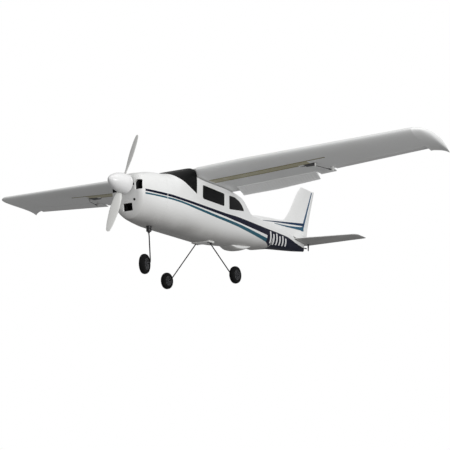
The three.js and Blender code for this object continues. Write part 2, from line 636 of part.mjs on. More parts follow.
function finSkin(z, angle) {
  const [lead, trail] = [finLeading(z), z < 252 ? TAILPLANE.hinge + 1 : hingeAt(z) + 0.8];
  const c = (1 + Math.cos(angle)) / 2;
  const half = 6 - 2 * (z - 236) / 193;
  const shape = Math.min(Math.sqrt(c) * 1.6, 1) * (1 - 0.25 * c);
  return new THREE.Vector3(lead + (trail - lead) * c, Math.sign(Math.sin(angle)) * half * shape, z);
}
const finStations = [234.2, 245, 251.9, 252.1, 257, 265, 273, 284, 296, 350, 421, 429];
const fin = cut(loft(finStations, 16, finSkin, Math.PI / 16), hull(BODY_STATIONS, -GAP),
  box(-490, HINGE_LOW[0] + 0.8, -20, 20, 251.9, 253));
addMesh('fin', fin, foam);

const rudderAxis = new THREE.Vector3(HINGE_HIGH[0] - HINGE_LOW[0], 0, HINGE_HIGH[1] - HINGE_LOW[1]);
rudderAxis.normalize();
function rudderSkin(z, angle) {
  const [lead, trail] = [hingeAt(z), rudderTrailing(z)];
  const s = (1 + Math.cos(angle)) / 2;
  const back = (lead - trail) * s;
  const half = Math.min(0.3 + back * 0.9, 4 - 3 * s);
  return new THREE.Vector3(lead - back, Math.sign(Math.sin(angle)) * half, z);
}
const rudderHorn = plate([[-480, 0], [-492, 0], [-488, -20], [-484, -20]], 259, 261);
addMesh('rudder', join(loft([253, 275, 350, 400, 431], 12, rudderSkin, Math.PI / 12), rudderHorn), foam);

function tailSkin([y, nose = 0, thin = 1], angle, from, to) {
  const out = Math.min(Math.abs(y) / TAILPLANE.tipY, 1);
  const lead = TAILPLANE.rootLe + (TAILPLANE.tipLe - TAILPLANE.rootLe) * out - nose;
  const trail = TAILPLANE.rootTe + (TAILPLANE.tipTe - TAILPLANE.rootTe) * out + nose * 0.4;
  const [front, rear] = [Math.min(lead, from), Math.max(trail, to)];
  const x = front + (rear - front) * (1 + Math.cos(angle)) / 2;
  const c = (lead - x) / (lead - trail);
  const skin = Math.max(TAILPLANE.thickness * halfThickness(c) * (lead - trail) * thin, 0.9);
  const wedge = to < TAILPLANE.hinge ? 0.3 + (TAILPLANE.hinge - x) * WEDGE : skin;
  return new THREE.Vector3(x, y, TAILPLANE.z + Math.sign(Math.sin(angle)) * Math.min(skin, wedge));
}
const tailStations = [[-TAILPLANE.endY, 16, 0.6], [-222, 5, 0.8], [-TAILPLANE.tipY], [0],
  [TAILPLANE.tipY], [222, 5, 0.8], [TAILPLANE.endY, 16, 0.6]];
addMesh('tailplane', loft(tailStations, 16,
  (station, angle) => tailSkin(station, angle, 0, TAILPLANE.hinge + 0.6), Math.PI / 16), foam);
addMesh('elevator', loft(tailStations, 12,
  (station, angle) => tailSkin(station, angle, TAILPLANE.hinge, -600), Math.PI / 12), foam);

// The horn under the elevator, beside its pushrod's end.
const elevatorHorn = [[-486, 224.4], [-497, 224.8], [-493, 200], [-489, 200]];
addMesh('elevator_horn', slab(elevatorHorn, 15, 17), blackPlastic);

// ---------------------------------------------------------------- landing gear
const mountBore = WIRE + BORE + 0.1;
addMesh('nose_gear_mount', turned([[mountBore, 114.5], [6, 114.5], [7, 116.5], [7, 129], [3.6, 130],
  [3.6, 149], [mountBore, 149], [mountBore, 114.5]], 14, 'z', STEER_X, 0, 0), blackPlastic);
const noseLeg = wire([[STEER_X, 0, 158], [STEER_X, 0, 110], [STEER_X + 1, 1.5, 104],
  [NOSE_WHEEL.x - 2, 14.5, 34], [NOSE_WHEEL.x - 1, 14, 28.5],
  [NOSE_WHEEL.x, 11, 26], [NOSE_WHEEL.x, -12, 26]], WIRE);

function steered(geometry) {
  return geometry.translate(-STEER_X, 0, 0).rotateZ(STEER_REST).translate(STEER_X, 0, 0);
}
addMesh('nose_gear_leg', steered(noseLeg), darkMetal);

// A tyre of flat facets, each as far from the axle as the wheel's radius.
const TYRE_SIDES = 20;
function tyre(wheel) {
  const [r, w] = [wheel.radius / Math.cos(Math.PI / TYRE_SIDES), wheel.width / 2];
  return [[r * 0.6, -w * 0.85], [r * 0.86, -w], [r * 0.97, -w * 0.7], [r, -w * 0.3], [r, w * 0.3],
    [r * 0.97, w * 0.7], [r * 0.86, w], [r * 0.6, w * 0.85], [r * 0.6, -w * 0.85]];
}

function hub(wheel) {
  const [r, w, bore] = [wheel.radius * 0.6 - GAP, wheel.width / 2, WIRE + BORE];
  return [[bore, -w - 1], [4.5, -w - 1], [4.5, -w * 0.5], [r - 2, -w * 0.5], [r, -w * 0.8],
    [r, w * 0.8], [r - 2, w * 0.5], [4.5, w * 0.5], [4.5, w + 1], [bore, w + 1], [bore, -w - 1]];
}

function wheelPair(name, wheel, y, place = geometry => geometry) {
  addMesh(`${name}_tyre`, place(turned(tyre(wheel), TYRE_SIDES, 'y', wheel.x, y, wheel.z)), rubber);
  addMesh(`${name}_hub`, place(turned(hub(wheel), 16, 'y', wheel.x, y, wheel.z)), greyPlastic);
}
wheelPair('nose_wheel', NOSE_WHEEL, 0, steered);

const mainLegPath = [[154, 6, 128], [154, 19, 128], [154.5, 23, 125.5], [164, 98, 31],
  [MAIN_WHEEL.x, 101, 26], [MAIN_WHEEL.x, 105.5, MAIN_WHEEL.z], [MAIN_WHEEL.x, 127, MAIN_WHEEL.z]];
const mainLeg = wire(mainLegPath, WIRE);
const mainLegGroove = wire(mainLegPath, WIRE + BORE);
for (const [side, word] of [[1, 'left'], [-1, 'right']]) {
  wheelPair(`main_wheel_${word}`, MAIN_WHEEL, side * MAIN_WHEEL.y);
  addMesh(`main_gear_leg_${word}`, side > 0 ? mainLeg : mirrored(mainLeg), darkMetal);
}
addMesh('main_gear_plate', cut(box(...GEAR_PLATE), mainLegGroove, mirrored(mainLegGroove)), whitePlastic);

// ---------------------------------------------------------------- power train
const spinnerOutline = [0, 0.15, 0.35, 0.55, 0.72, 0.86, 0.96, 1].map(s =>
  [SPINNER.radius * (1 - s ** 2) ** 0.62, SPINNER.length * s]);
const spinnerInside = spinnerOutline.slice(0, 6).map(([r, along]) => [r - SPINNER.wall, along]);
const spinnerShell = turned([[SPINNER.radius - SPINNER.wall, 0], ...spinnerOutline,
  [0, SPINNER.length * 0.8], ...spinnerInside.slice(1).reverse(),
  [SPINNER.radius - SPINNER.wall, 0]], 24, 'x', SPINNER.x, 0, THRUST_Z);

function bladeSkin([radius, width, twist, thick], angle) {
  const [c, s] = [Math.cos(angle) * width / 2, Math.sin(angle) * thick / 2];
  return new THREE.Vector3(c * Math.sin(twist) + s * Math.cos(twist),
    c * Math.cos(twist) - s * Math.sin(twist), radius);
}
const hubX = SPINNER.x + 9;
const blade = loft(BLADE, 10, bladeSkin);
const otherBlade = blade.clone().rotateX(Math.PI);
const propeller = cut(join(rod('x', 9, 12, 0, 0, 0, 16), blade, otherBlade),
  rod('x', MOTOR.shaft + BORE, 30, 0, 0, 0, 12));
propeller.rotateX(BLADE_LEAN).translate(hubX, 0, THRUST_Z);
const slots = box(-12, 8, -8.5, 8.5, -40, 40).rotateX(BLADE_LEAN).translate(hubX, 0, THRUST_Z);
addMesh('spinner', cut(spinnerShell, slots), whitePlastic);
addMesh('propeller', propeller, whitePlastic);

addMesh('motor_bell', turned([[0, 478], [MOTOR.shaft, 478], [MOTOR.shaft, 492],
  [MOTOR.radius - 2, 492], [MOTOR.radius - 2, MOTOR.bell], [MOTOR.radius, MOTOR.bell],
  [MOTOR.radius, MOTOR.front - 2], [MOTOR.radius - 3, MOTOR.front], [MOTOR.shaft, MOTOR.front],
  [MOTOR.shaft, MOTOR.end], [0, MOTOR.end]], 18, 'x', 0, 0, THRUST_Z), darkMetal);
addMesh('motor_stator', cut(join(rod('x', MOTOR.radius - 3, 27, MOTOR.rear + 15, 0, THRUST_Z, 18),
  rod('x', 13, 4, MOTOR.rear + 2 + GAP, 0, THRUST_Z, 18)),
  rod('x', MOTOR.shaft + BORE, 30, 490, 0, THRUST_Z, 12)), copper);
addMesh('firewall', join(hull([COWL_X - 5, COWL_X - 1], FOAM + 2 * GAP, 20),
  box(COWL_X - 2, MOTOR.rear, -MOTOR.box, MOTOR.box, THRUST_Z - MOTOR.box, THRUST_Z + MOTOR.box)), plywood);

// ---------------------------------------------------------------- equipment
addMesh('battery', box(...BATTERY), batteryWrap);
addMesh('speed_controller', box(...SPEED_CONTROLLER), heatShrink);
addMesh('receiver', box(...RECEIVER), blackPlastic);
addMesh('flap_servo', box(...FLAP_SERVO), black);

function tailServo(y) {
  const { x, z } = TAIL_SERVO;
  const ears = box(x - 5, x + 28, y - 6, y + 6, z + 16, z + 18);
  return join(box(x, x + 23, y - 6, y + 6, z, z + 24), ears, rod('z', 5, 8, x + 6, y, z + 24, 14));
}

function tailServoArm(y) {
  const { x, z, reach } = TAIL_ARM;
  const end = y - Math.sign(y) * reach;
  const lever = box(x - 2, x + 2, Math.min(y, end), Math.max(y, end), z + 1, z + 3);
  return join(rod('z', 4, 4, x, y, z + 2, 12), lever);
}

for (const [name, y] of [['elevator', TAIL_SERVO.y], ['rudder', -TAIL_SERVO.y]]) {
  addMesh(`${name}_servo`, tailServo(y), black);
  addMesh(`${name}_servo_arm`, tailServoArm(y), whitePlastic);
}

export default group;
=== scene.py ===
"""RC foam airplane: its looks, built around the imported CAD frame.

The row frame is metres, +X forward, +Y to the left wing tip, +Z up. Shapes here are written in
millimetres, with the same outline tables as the CAD model, and scaled by MM as they are made.
"""

import json
import math

import bmesh
import bpy
from mathutils import Matrix, Vector


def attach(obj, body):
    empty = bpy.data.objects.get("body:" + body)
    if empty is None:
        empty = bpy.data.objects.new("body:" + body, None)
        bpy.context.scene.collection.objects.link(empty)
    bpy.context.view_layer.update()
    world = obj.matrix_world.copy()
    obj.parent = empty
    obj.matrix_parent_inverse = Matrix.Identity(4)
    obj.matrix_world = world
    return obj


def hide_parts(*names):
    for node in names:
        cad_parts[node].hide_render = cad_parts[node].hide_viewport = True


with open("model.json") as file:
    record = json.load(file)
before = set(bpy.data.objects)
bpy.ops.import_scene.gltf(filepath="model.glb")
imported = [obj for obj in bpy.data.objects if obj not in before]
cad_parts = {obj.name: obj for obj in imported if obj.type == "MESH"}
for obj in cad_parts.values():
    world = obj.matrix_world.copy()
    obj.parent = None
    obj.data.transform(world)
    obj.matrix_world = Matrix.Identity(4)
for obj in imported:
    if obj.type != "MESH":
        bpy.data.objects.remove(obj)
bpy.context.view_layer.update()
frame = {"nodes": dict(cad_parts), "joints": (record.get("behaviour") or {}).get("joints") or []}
NODES = frame["nodes"]
SCENE = bpy.context.scene
MM = 0.001
SIDES = (("left", 1), ("right", -1))

# ------------------------------------------------------------------ outline tables, in mm
GAP = 0.35
HALF_WIDTH = [(-482, 5), (-449, 10), (-388, 18), (-310, 28), (-146, 45), (28, 62), (74, 66),
              (158, 70), (278, 70), (388, 68), (458, 59), (510, 49)]
BELLY = [(-482, 198), (-384, 185), (-243, 170), (-158, 160), (-88, 150), (42, 136), (117, 129),
         (168, 127), (260, 127.5), (388, 128), (430, 129.5), (496, 133.5), (510, 139)]
TOP = [(-482, 232), (-442, 236), (-342, 246), (-242, 250), (-142, 251), (-70, 250), (-38, 254),
       (-8, 274), (20, 289), (88, 292), (300, 304), (322, 295), (350, 285), (384, 273),
       (410, 268), (452, 262), (496, 250), (510, 246)]
WAIST = [(-482, 214), (-310, 213), (-146, 208), (28, 205), (158, 200), (388, 200), (510, 203)]
TOP_SQUARE = [(-482, 2.2), (-310, 2.3), (-100, 2.6), (28, 4.2), (300, 9), (388, 3.2), (510, 3.6)]
BELLY_SQUARE = [(-482, 2.2), (-146, 2.6), (100, 3), (388, 2.8), (510, 2)]
COWL_X, COWL_FRONT_X, COWL_LIP = 418, 510, 12
RAKE_X, RAKE_TOP_Z, RAKE_LOW_Z, RAKE = 440, 225, 139, 16             # the cowl's face leans back below
FOAM, COWL_WALL = 8, 3
THRUST_Z = 219
FAIRING = [(-88, 151), (-52, 137), (-24, 130), (0, 128.5), (14, 131), (40, 138)]
FAIRING_HALF = 27
GLASS = [(291, 232), (367, 260), (386, 274), (386, 330), (291, 330)]
NOTCH = [(290.3, 71.5), (325, 88), (325, -88), (290.3, -71.5)]       # (x, y), for the windscreen's top
WINDOWS = {"front": [(258, 225), (262, 229), (262, 263), (153, 262), (151, 260), (151, 226)],
           "rear": [(122, 223), (122, 263), (84, 266), (54, 259), (38, 249), (28, 239), (30, 236)]}
INCIDENCE = math.radians(2)
ROOT_LE, TIP_LE, BREAK_Y, TIP_Y, ROOT_CHORD, TIP_CHORD = 318, 288, 215, 690, 230, 170
ROOT_Z, RISE, THICKNESS, CAMBER, TRAILING = 289, 24, 0.12, 0.02, 1
FLAP = (100, 348, 133, 133)                  # inner y, outer y, hinge x at both
AILERON = (396, 662, 149, 166)
FIN_EDGE = [(236, -84), (250, -84), (257, -112), (265, -152), (273, -226), (284, -332),
            (296, -352), (421, -462), (429, -474)]
RUDDER_TE = [(252, -511), (275, -516), (431, -576)]
TAIL_Z, TAIL_HINGE = 229, -482
STRIPS = (("front", 240, 425), ("rear", 210, 335))      # fibre strips: place, x, outer end's y
STRIP_START_Y = 76
JOINER_X, JOINER_Z, JOINER_RADIUS = 238, 292, 5.35
BOLT_X, BOLT_Y, BOLT_SEAT = 106, 26, 285.2              # nylon wing bolts
SERVO_X0, SERVO_X1, SERVO_Y0, SERVO_Y1 = 190, 214, 350, 378
ARM_X, ARM_Y, ARM_REACH = 207, 382, 13
HORN_Y, HORN_DROP = 404, 15
AILERON_REST, FLAP_REST = {1: 8, -1: -5}, -25           # degrees; ailerons by side
STEER_REST = 15                                         # degrees to port
NOSE_POST_X, NOSE_WHEEL, MAIN_WHEEL = 409, (432, 0, 26), (165, 115, 24)
NOSE_RADIUS, MAIN_RADIUS, WHEEL_WIDTH, WIRE_RADIUS = 26, 24, 15, 1.6
PLATE_SCREWS = [(x, y) for x in (145, 163.5) for y in (-24, 24)]
PROPELLER_X, SPINNER_X, SPINNER_RADIUS, SPINNER_LENGTH = 522.5, 513.5, 26, 62.5


# ------------------------------------------------------------------ curves
def smooth(points):
    """A monotone cubic through (x, value) points."""
    slopes = [(b[1] - a[1]) / (b[0] - a[0]) for a, b in zip(points, points[1:])]
    tangents = [slopes[0]]
    for a, b in zip(slopes, slopes[1:]):
        tangents.append(0 if a * b <= 0 else 2 * a * b / (a + b))
    tangents.append(slopes[-1])

    def value(x):
        i = 0
        while i < len(points) - 2 and x > points[i + 1][0]:
            i += 1
        (x0, v0), (x1, v1) = points[i], points[i + 1]
        t = min(max((x - x0) / (x1 - x0), 0), 1)
        r = 1 - t
        return (v0 * (1 + 2 * t) * r * r + v1 * (3 - 2 * t) * t * t
                + (x1 - x0) * t * r * (tangents[i] * r - tangents[i + 1] * t))
    return value


def mix(a, b, t):
    return a + (b - a) * t


def steps(a, b, n):
    return [mix(a, b, i / n) for i in range(n + 1)]


def sign(v):
    return (v > 0) - (v < 0)


def closed_row(count, point):
    """point(angle) at count angles all round, none of them on the symmetry plane."""
    return [Vector(point(2 * math.pi * (k + 0.5) / count)) for k in range(count)]


half_width, belly, top, waist = smooth(HALF_WIDTH), smooth(BELLY), smooth(TOP), smooth(WAIST)
top_square, belly_square = smooth(TOP_SQUARE), smooth(BELLY_SQUARE)
fairing_low, fin_lead, rudder_trail = smooth(FAIRING), smooth(FIN_EDGE), smooth(RUDDER_TE)


def front_inset(x):
    into = (x - (COWL_FRONT_X - COWL_LIP)) / COWL_LIP
    return 0 if into <= 0 else COWL_LIP * (1 - math.sqrt(max(1 - into * into, 0)))


def hull_shape(x, upper, wall=0):
    """Half width, height from the waist, and squareness of a fuselage section."""
    inset = wall + front_inset(x + max(wall, 0))
    height = top(x) - inset - waist(x) if upper else waist(x) - belly(x) - inset
    return half_width(x) - inset, height, (top_square(x) if upper else belly_square(x))


def leaned_back(x, z):
    into = max((x - RAKE_X) / (COWL_FRONT_X - RAKE_X), 0)
    below = max((RAKE_TOP_Z - z) / (RAKE_TOP_Z - RAKE_LOW_Z), 0)
    return RAKE * into ** 2 * below ** 1.3


def hull_point(x, angle, wall=0, shrink=1):
    c, s = math.cos(angle), math.sin(angle)
    wide, high, power = hull_shape(x, s > 0, wall)
    reach = shrink * (abs(c) ** power + abs(s) ** power) ** (-1 / power)
    z = waist(x) + high * s * reach
    return Vector((x - leaned_back(x, z), wide * c * reach, z))


def hull_angle(x, z):
    """The angle at which the fuselage's skin is at that height, on the left side."""
    upper = z > waist(x)
    _, high, power = hull_shape(x, upper)
    v = min(max((z - waist(x)) / high, -1), 1)
    return math.atan2(v, (1 - abs(v) ** power) ** (1 / power))


def chord_at(y):
    return ROOT_CHORD if y <= BREAK_Y else mix(ROOT_CHORD, TIP_CHORD, (y - BREAK_Y) / (TIP_Y - BREAK_Y))


def leading_at(y):
    return ROOT_LE if y <= BREAK_Y else mix(ROOT_LE, TIP_LE, (y - BREAK_Y) / (TIP_Y - BREAK_Y))


def half_thickness(c):
    return 5 * (0.2969 * math.sqrt(c) - 0.126 * c - 0.3516 * c * c + 0.2843 * c ** 3 - 0.1036 * c ** 4)


def wing_x(y, c):
    return leading_at(y) - chord_at(y) * c * math.cos(INCIDENCE)


def wing_c(y, x):
    return (leading_at(y) - x) / chord_at(y) / math.cos(INCIDENCE)


def wing_z(y, c, side, thin=1, droop=0):
    chord = chord_at(y)
    half = max(THICKNESS * half_thickness(c) * chord * thin, TRAILING * c)
    rise = RISE * y / TIP_Y - chord * c * math.sin(INCIDENCE)
    return ROOT_Z + rise - droop + 4 * CAMBER * c * (1 - c) * chord + side * half


def lower_z(x, y):
    return wing_z(y, wing_c(y, x), -1)


def hinge_x(surface, y):
    inner, outer, first, last = surface
    return mix(first, last, (y - inner) / (outer - inner))


def hinge_point(surface, y):
    x = hinge_x(surface, y)
    c = wing_c(y, x)
    return Vector((x, y, (wing_z(y, c, 1) + wing_z(y, c, -1)) / 2))


# ------------------------------------------------------------------ mesh tools
SCRATCH = []


def new_object(name, mesh):
    obj = bpy.data.objects.new(name, mesh)
    SCENE.collection.objects.link(obj)
    return obj


def finished(bm):
    """The object that a bmesh becomes, on the scratch list until it is made a piece."""
    mesh = bpy.data.meshes.new("part")
    bm.to_mesh(mesh)
    bm.free()
    obj = new_object("part", mesh)
    SCRATCH.append(obj)
    return obj


def shape(points, faces):
    """A mesh object from points in mm, its faces turned outward."""
    bm = bmesh.new()
    verts = [bm.verts.new(Vector(p) * MM) for p in points]
    for face in faces:
        bm.faces.new([verts[i] for i in face])
    bmesh.ops.remove_doubles(bm, verts=bm.verts, dist=2e-6)
    bmesh.ops.recalc_face_normals(bm, faces=bm.faces)
    return finished(bm)


def loft(rows, ring=False):
    """Skin through rows of points; each row is a closed loop. ring joins the last row to the first."""
    around, count = len(rows[0]), len(rows)
    points = [p for row in rows for p in row]
    faces = []
    for i in range(count if ring else count - 1):
        a, b = i * around, (i + 1) % count * around
        for k in range(around):
            n = (k + 1) % around
            faces.append((a + k, a + n, b + n, b + k))
    if not ring:
        faces.append(tuple(range(around)))
        faces.append(tuple(range(len(points) - around, len(points))))
    return shape(points, faces)


def slab(outline, y0, y1):
    return loft([[(x, y, z) for x, z in outline] for y in (y0, y1)])


def plate(outline, z0, z1):
    return loft([[(x, y, z) for x, y in outline] for z in (z0, z1)])


def box(x0, x1, y0, y1, z0, z1):
    return plate([(x0, y0), (x1, y0), (x1, y1), (x0, y1)], z0, z1)


TO_AXIS = {"x": lambda a, b, c: (c, a, b), "y": lambda a, b, c: (b, c, a), "z": lambda a, b, c: (a, b, c)}


def lathe(profile, sides, axis, at, closed=False):
    """Turns (radius, along) points about the axis through at. closed: the profile is a ring."""
    rows = []
    for k in range(sides):
        c, s = math.cos(2 * math.pi * k / sides), math.sin(2 * math.pi * k / sides)
        rows.append([Vector(at) + Vector(TO_AXIS[axis](r * c, r * s, d)) for r, d in profile])
    count, points = len(profile), [p for row in rows for p in row]
    faces = []
    for k in range(sides):
        a, b = k * count, (k + 1) % sides * count
        for i in range(count if closed else count - 1):
            n = (i + 1) % count
            corners = [a + i, a + n, b + n, b + i]
            if profile[i][0] < 1e-6:
                corners = [a + i, a + n, b + n]
            elif profile[n][0] < 1e-6:
                corners = [a + i, a + n, b + i]
            faces.append(tuple(corners))
    return shape(points, faces)


def rod(axis, radius, length, at, sides=24):
    half = length / 2
    return lathe([(0, -half), (radius, -half), (radius, half), (0, half)], sides, axis, at)


def filleted(points, radius, turns=6):
    """Rounds the inner corners of an open path, or of a closed outline given as a list of 2-D points."""
    flat = len(points[0]) == 2
    pts = [Vector(p).to_3d() if flat else Vector(p) for p in points]
    closed = flat
    result = [] if closed else [pts[0]]
    for i in range(len(pts)) if closed else range(1, len(pts) - 1):
        before, corner, after = pts[i - 1], pts[i], pts[(i + 1) % len(pts)]
        a, b = before - corner, after - corner
        reach = min(radius, a.length * 0.48, b.length * 0.48)
        a, b = corner + a.normalized() * reach, corner + b.normalized() * reach
        for k in range(turns + 1):
            t = k / turns
            result.append(a * (1 - t) ** 2 + corner * 2 * t * (1 - t) + b * t * t)
    if not closed:
        result.append(pts[-1])
    return [tuple(p)[:2] for p in result] if flat else result


def tube(path, radius, sides=12):
    """A round bar along a path. radius is a number, or one number for each point."""
    path = [Vector(p) for p in path]
    radii = radius if isinstance(radius, list) else [radius] * len(path)
    ahead = (path[1] - path[0]).normalized()
    across = ahead.orthogonal().normalized()
    rows = []
    for i, p in enumerate(path):
        step = (path[min(i + 1, len(path) - 1)] - path[max(i - 1, 0)]).normalized()
        across = (across - step * across.dot(step)).normalized()
        other = step.cross(across)
        rows.append([p + (across * math.cos(a) + other * math.sin(a)) * radii[i]
                     for a in (2 * math.pi * k / sides for k in range(sides))])
    return loft(rows)


def bake(obj):
    mesh = bpy.data.meshes.new_from_object(obj.evaluated_get(bpy.context.evaluated_depsgraph_get()))
    obj.modifiers.clear()
    obj.data = mesh
    return obj


def carve(obj, *tools, how="DIFFERENCE"):
    for tool in tools:
        cutter = obj.modifiers.new("cut", "BOOLEAN")
        cutter.solver, cutter.operation, cutter.object = "MANIFOLD", how, tool
    return bake(obj)


def weld(first, *others):
    """Solids joined into one."""
    return carve(twin(first), *others, how="UNION")


def twin(obj):
    copy = new_object("part", obj.data.copy())
    SCRATCH.append(copy)
    return copy


def flip(obj):
    """A mirror image across the airplane's centre plane."""
    copy = twin(obj)
    copy.data.transform(Matrix.Scale(-1, 4, (0, 1, 0)))
    copy.data.flip_normals()
    return copy


def on_side(obj, side):
    """A copy of obj for the left side, or its mirror image for the right side."""
    return twin(obj) if side > 0 else flip(obj)


def gather(objs):
    """Separate closed bodies in one object."""
    bm = bmesh.new()
    for obj in objs:
        bm.from_mesh(obj.data)
    return finished(bm)


def soften(obj, width, angle=35, segments=2):
    """Rounds the edges sharper than angle."""
    bevel = obj.modifiers.new("bevel", "BEVEL")
    bevel.width, bevel.segments, bevel.angle_limit = width * MM, segments, math.radians(angle)
    bevel.limit_method = "ANGLE"
    bevel.harden_normals = False
    return bake(obj)


def block(x0, x1, y0, y1, z0, z1, radius=0.8):
    return soften(box(x0, x1, y0, y1, z0, z1), radius, segments=3)


def piece(obj, name, body, material, stands_for=(), slot=None, crease=38, weigh=True):
    """Makes obj a finished piece: named, shaded, painted, riding on its body."""
    SCRATCH.remove(obj)
    obj.name = name
    obj.data.name = name
    obj.data.materials.clear()
    obj.data.materials.append(material)
    for face in obj.data.polygons:
        face.material_index = 0
        face.use_smooth = True
    obj.data.set_sharp_from_angle(angle=math.radians(crease))
    if weigh:
        weighted = obj.modifiers.new("normals", "WEIGHTED_NORMAL")
        weighted.keep_sharp = True
        weighted.weight = 60
        bake(obj)
    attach(obj, body)
    if stands_for:
        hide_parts(*([stands_for] if isinstance(stands_for, str) else stands_for))
    return obj


def turned_to(body_joint, degrees):
    """The row frame transform of a hinge joint at that angle."""
    joint = next(j for j in frame["joints"] if j["name"] == body_joint)
    at, axis = Vector(joint["pos_m"]), Vector(joint["axis"]).normalized()
    turn = Matrix.Rotation(math.radians(degrees), 4, axis)
    return Matrix.Translation(at) @ turn @ Matrix.Translation(-at)


# ------------------------------------------------------------------ materials
class Paint:
    """A node material built up from its Principled shader."""

    def __init__(self, name, color, roughness, **sockets):
        self.mat = bpy.data.materials.new(name)
        self.mat.use_nodes = True
        self.nodes, self.links = self.mat.node_tree.nodes, self.mat.node_tree.links
        self.shader = self.nodes["Principled BSDF"]
        self.coords = self.nodes.new("ShaderNodeTexCoord").outputs["Object"]
        self.color = color
        self.set("Base Color", (*color, 1))
        self.set("Roughness", roughness)
        for socket, value in sockets.items():
            self.set(socket.replace("_", " "), value)
        self.height = None

    def set(self, socket, value):
        target = self.shader.inputs[socket]
        if isinstance(value, bpy.types.NodeSocket):
            self.links.new(value, target)
        else:
            target.default_value = value

    def add(self, kind, inputs=None, **settings):
        node = self.nodes.new("ShaderNode" + kind)
        for key, value in settings.items():
            setattr(node, key, value)
        for key, value in (inputs or {}).items():
            if isinstance(value, bpy.types.NodeSocket):
                self.links.new(value, node.inputs[key])
            else:
                node.inputs[key].default_value = value
        return node

    def stretched(self, scale):
        return self.add("Mapping", {"Vector": self.coords, "Scale": scale}).outputs["Vector"]

    def noise(self, scale, detail=3, vector=None, rough=0.55):
        inputs = {"Vector": vector or self.coords, "Scale": scale, "Detail": detail, "Roughness": rough}
        return self.add("TexNoise", inputs).outputs["Fac"]

    def cells(self, scale, feature="DISTANCE_TO_EDGE", vector=None):
        node = self.add("TexVoronoi", {"Vector": vector or self.coords, "Scale": scale}, feature=feature)
        return node.outputs["Distance"]

    def ramp(self, value, low, high, at=(0, 1)):
        inputs = {"Value": value, "From Min": at[0], "From Max": at[1], "To Min": low, "To Max": high}
        return self.add("MapRange", inputs).outputs["Result"]

    def vary(self, value, other, amount=1.0):
        """Mixes the base colour towards other where value is high."""
        node = self.add("Mix", data_type="RGBA")
        current = self.shader.inputs["Base Color"]
        if current.is_linked:
            self.links.new(current.links[0].from_socket, node.inputs[6])
        else:
            node.inputs[6].default_value = current.default_value
        node.inputs[7].default_value = (*other, 1)
        self.links.new(self.ramp(value, 0, amount), node.inputs[0])
        self.set("Base Color", node.outputs[2])
        return self

    def bump(self, value, strength, distance=0.2):
        inputs = {"Height": value, "Strength": strength, "Distance": distance * MM}
        if self.height:
            inputs["Normal"] = self.height
        self.height = self.add("Bump", inputs).outputs["Normal"]
        self.set("Normal", self.height)
        return self

    def rough(self, value, low, high):
        self.set("Roughness", self.ramp(value, low, high))
        return self


def foam_paint(name, color, dirt):
    """Moulded bead foam: cells pressed together, faint waves, worn patches, and painted shade that darkens
    the low, downward-facing underside in cloudy patches.
    """
    paint = Paint(name, color, 0.5, Specular_IOR_Level=0.42, Coat_Weight=0.12, Coat_Roughness=0.35)
    wobble = paint.add("VectorMath", {0: paint.coords}, operation="ADD")
    paint.links.new(paint.add("TexNoise", {"Vector": paint.coords, "Scale": 90.0}).outputs["Color"],
                    paint.add("VectorMath", {1: (0.003, 0.003, 0.003)}, operation="MULTIPLY").inputs[0])
    paint.links.new(paint.nodes[-1].outputs[0], wobble.inputs[1])
    beads = paint.cells(300.0, vector=wobble.outputs[0])
    clouds = paint.noise(9.0, 4)
    height = paint.add("SeparateXYZ", {0: paint.coords}).outputs["Z"]
    normal = paint.nodes["Texture Coordinate"].outputs["Normal"]
    facing = paint.add("SeparateXYZ", {0: normal}).outputs["Z"]
    # Painted shade: surfaces low on the body that face downwards are darkened towards a dark grey, in
    # cloudy patches.
    low = paint.add("Math", {0: paint.ramp(height, 1, 0, UNDERSIDE_SHADE_HEIGHTS),
                             1: paint.ramp(facing, 1, 0, UNDERSIDE_SHADE_FACING)}, operation="MULTIPLY").outputs[0]
    underside_shade = paint.add("Math", {0: low, 1: paint.ramp(clouds, 0.75, 1)}, operation="MULTIPLY").outputs[0]
    paint.vary(underside_shade, UNDERSIDE_SHADE_COLOR)
    paint.vary(paint.ramp(clouds, 0, 1, (0.42, 0.75)), dirt, 0.5)
    paint.vary(paint.ramp(beads, 1, 0, (0.0, 0.06)), tuple(0.86 * c for c in color), 0.45)
    paint.bump(paint.ramp(beads, 0, 1, (0.0, 0.12)), 0.22, 0.12)
    paint.bump(paint.noise(60.0, 2), 0.12, 0.5)
    return paint.rough(clouds, 0.42, 0.6).mat


def gloss_paint(name, color, roughness, grain=900.0, coat=0.3, specular=0.3):
    paint = Paint(name, color, roughness, Coat_Weight=coat, Coat_Roughness=0.12,
                  Specular_IOR_Level=specular)
    smears = paint.noise(24.0, 5)
    paint.vary(smears, tuple(min(1, 1.4 * c + 0.001) for c in color), 0.6)
    paint.bump(paint.cells(300.0, "SMOOTH_F1"), 0.05, 0.1)
    paint.bump(paint.noise(grain, 2), 0.04, 0.05)
    return paint.rough(smears, roughness * 0.75, roughness * 1.35).mat


def plastic(name, color, roughness, grain=1400.0, depth=0.12, fade=1.25):
    paint = Paint(name, color, roughness)
    wear = paint.noise(45.0, 4)
    paint.vary(wear, tuple(min(1, c * fade + 0.006) for c in color), 0.7)
    paint.bump(paint.noise(grain, 3), depth, 0.06)
    return paint.rough(wear, roughness * 0.8, roughness * 1.25).mat


def metal(name, color, roughness, brush=(1, 1, 1), grain=700.0):
    paint = Paint(name, color, roughness, Metallic=1.0)
    lines = paint.noise(grain, 4, paint.stretched(brush), 0.7)
    paint.vary(lines, tuple(c * 0.55 for c in color), 0.7)
    paint.bump(lines, 0.1, 0.04)
    return paint.rough(lines, roughness * 0.7, roughness * 1.4).mat
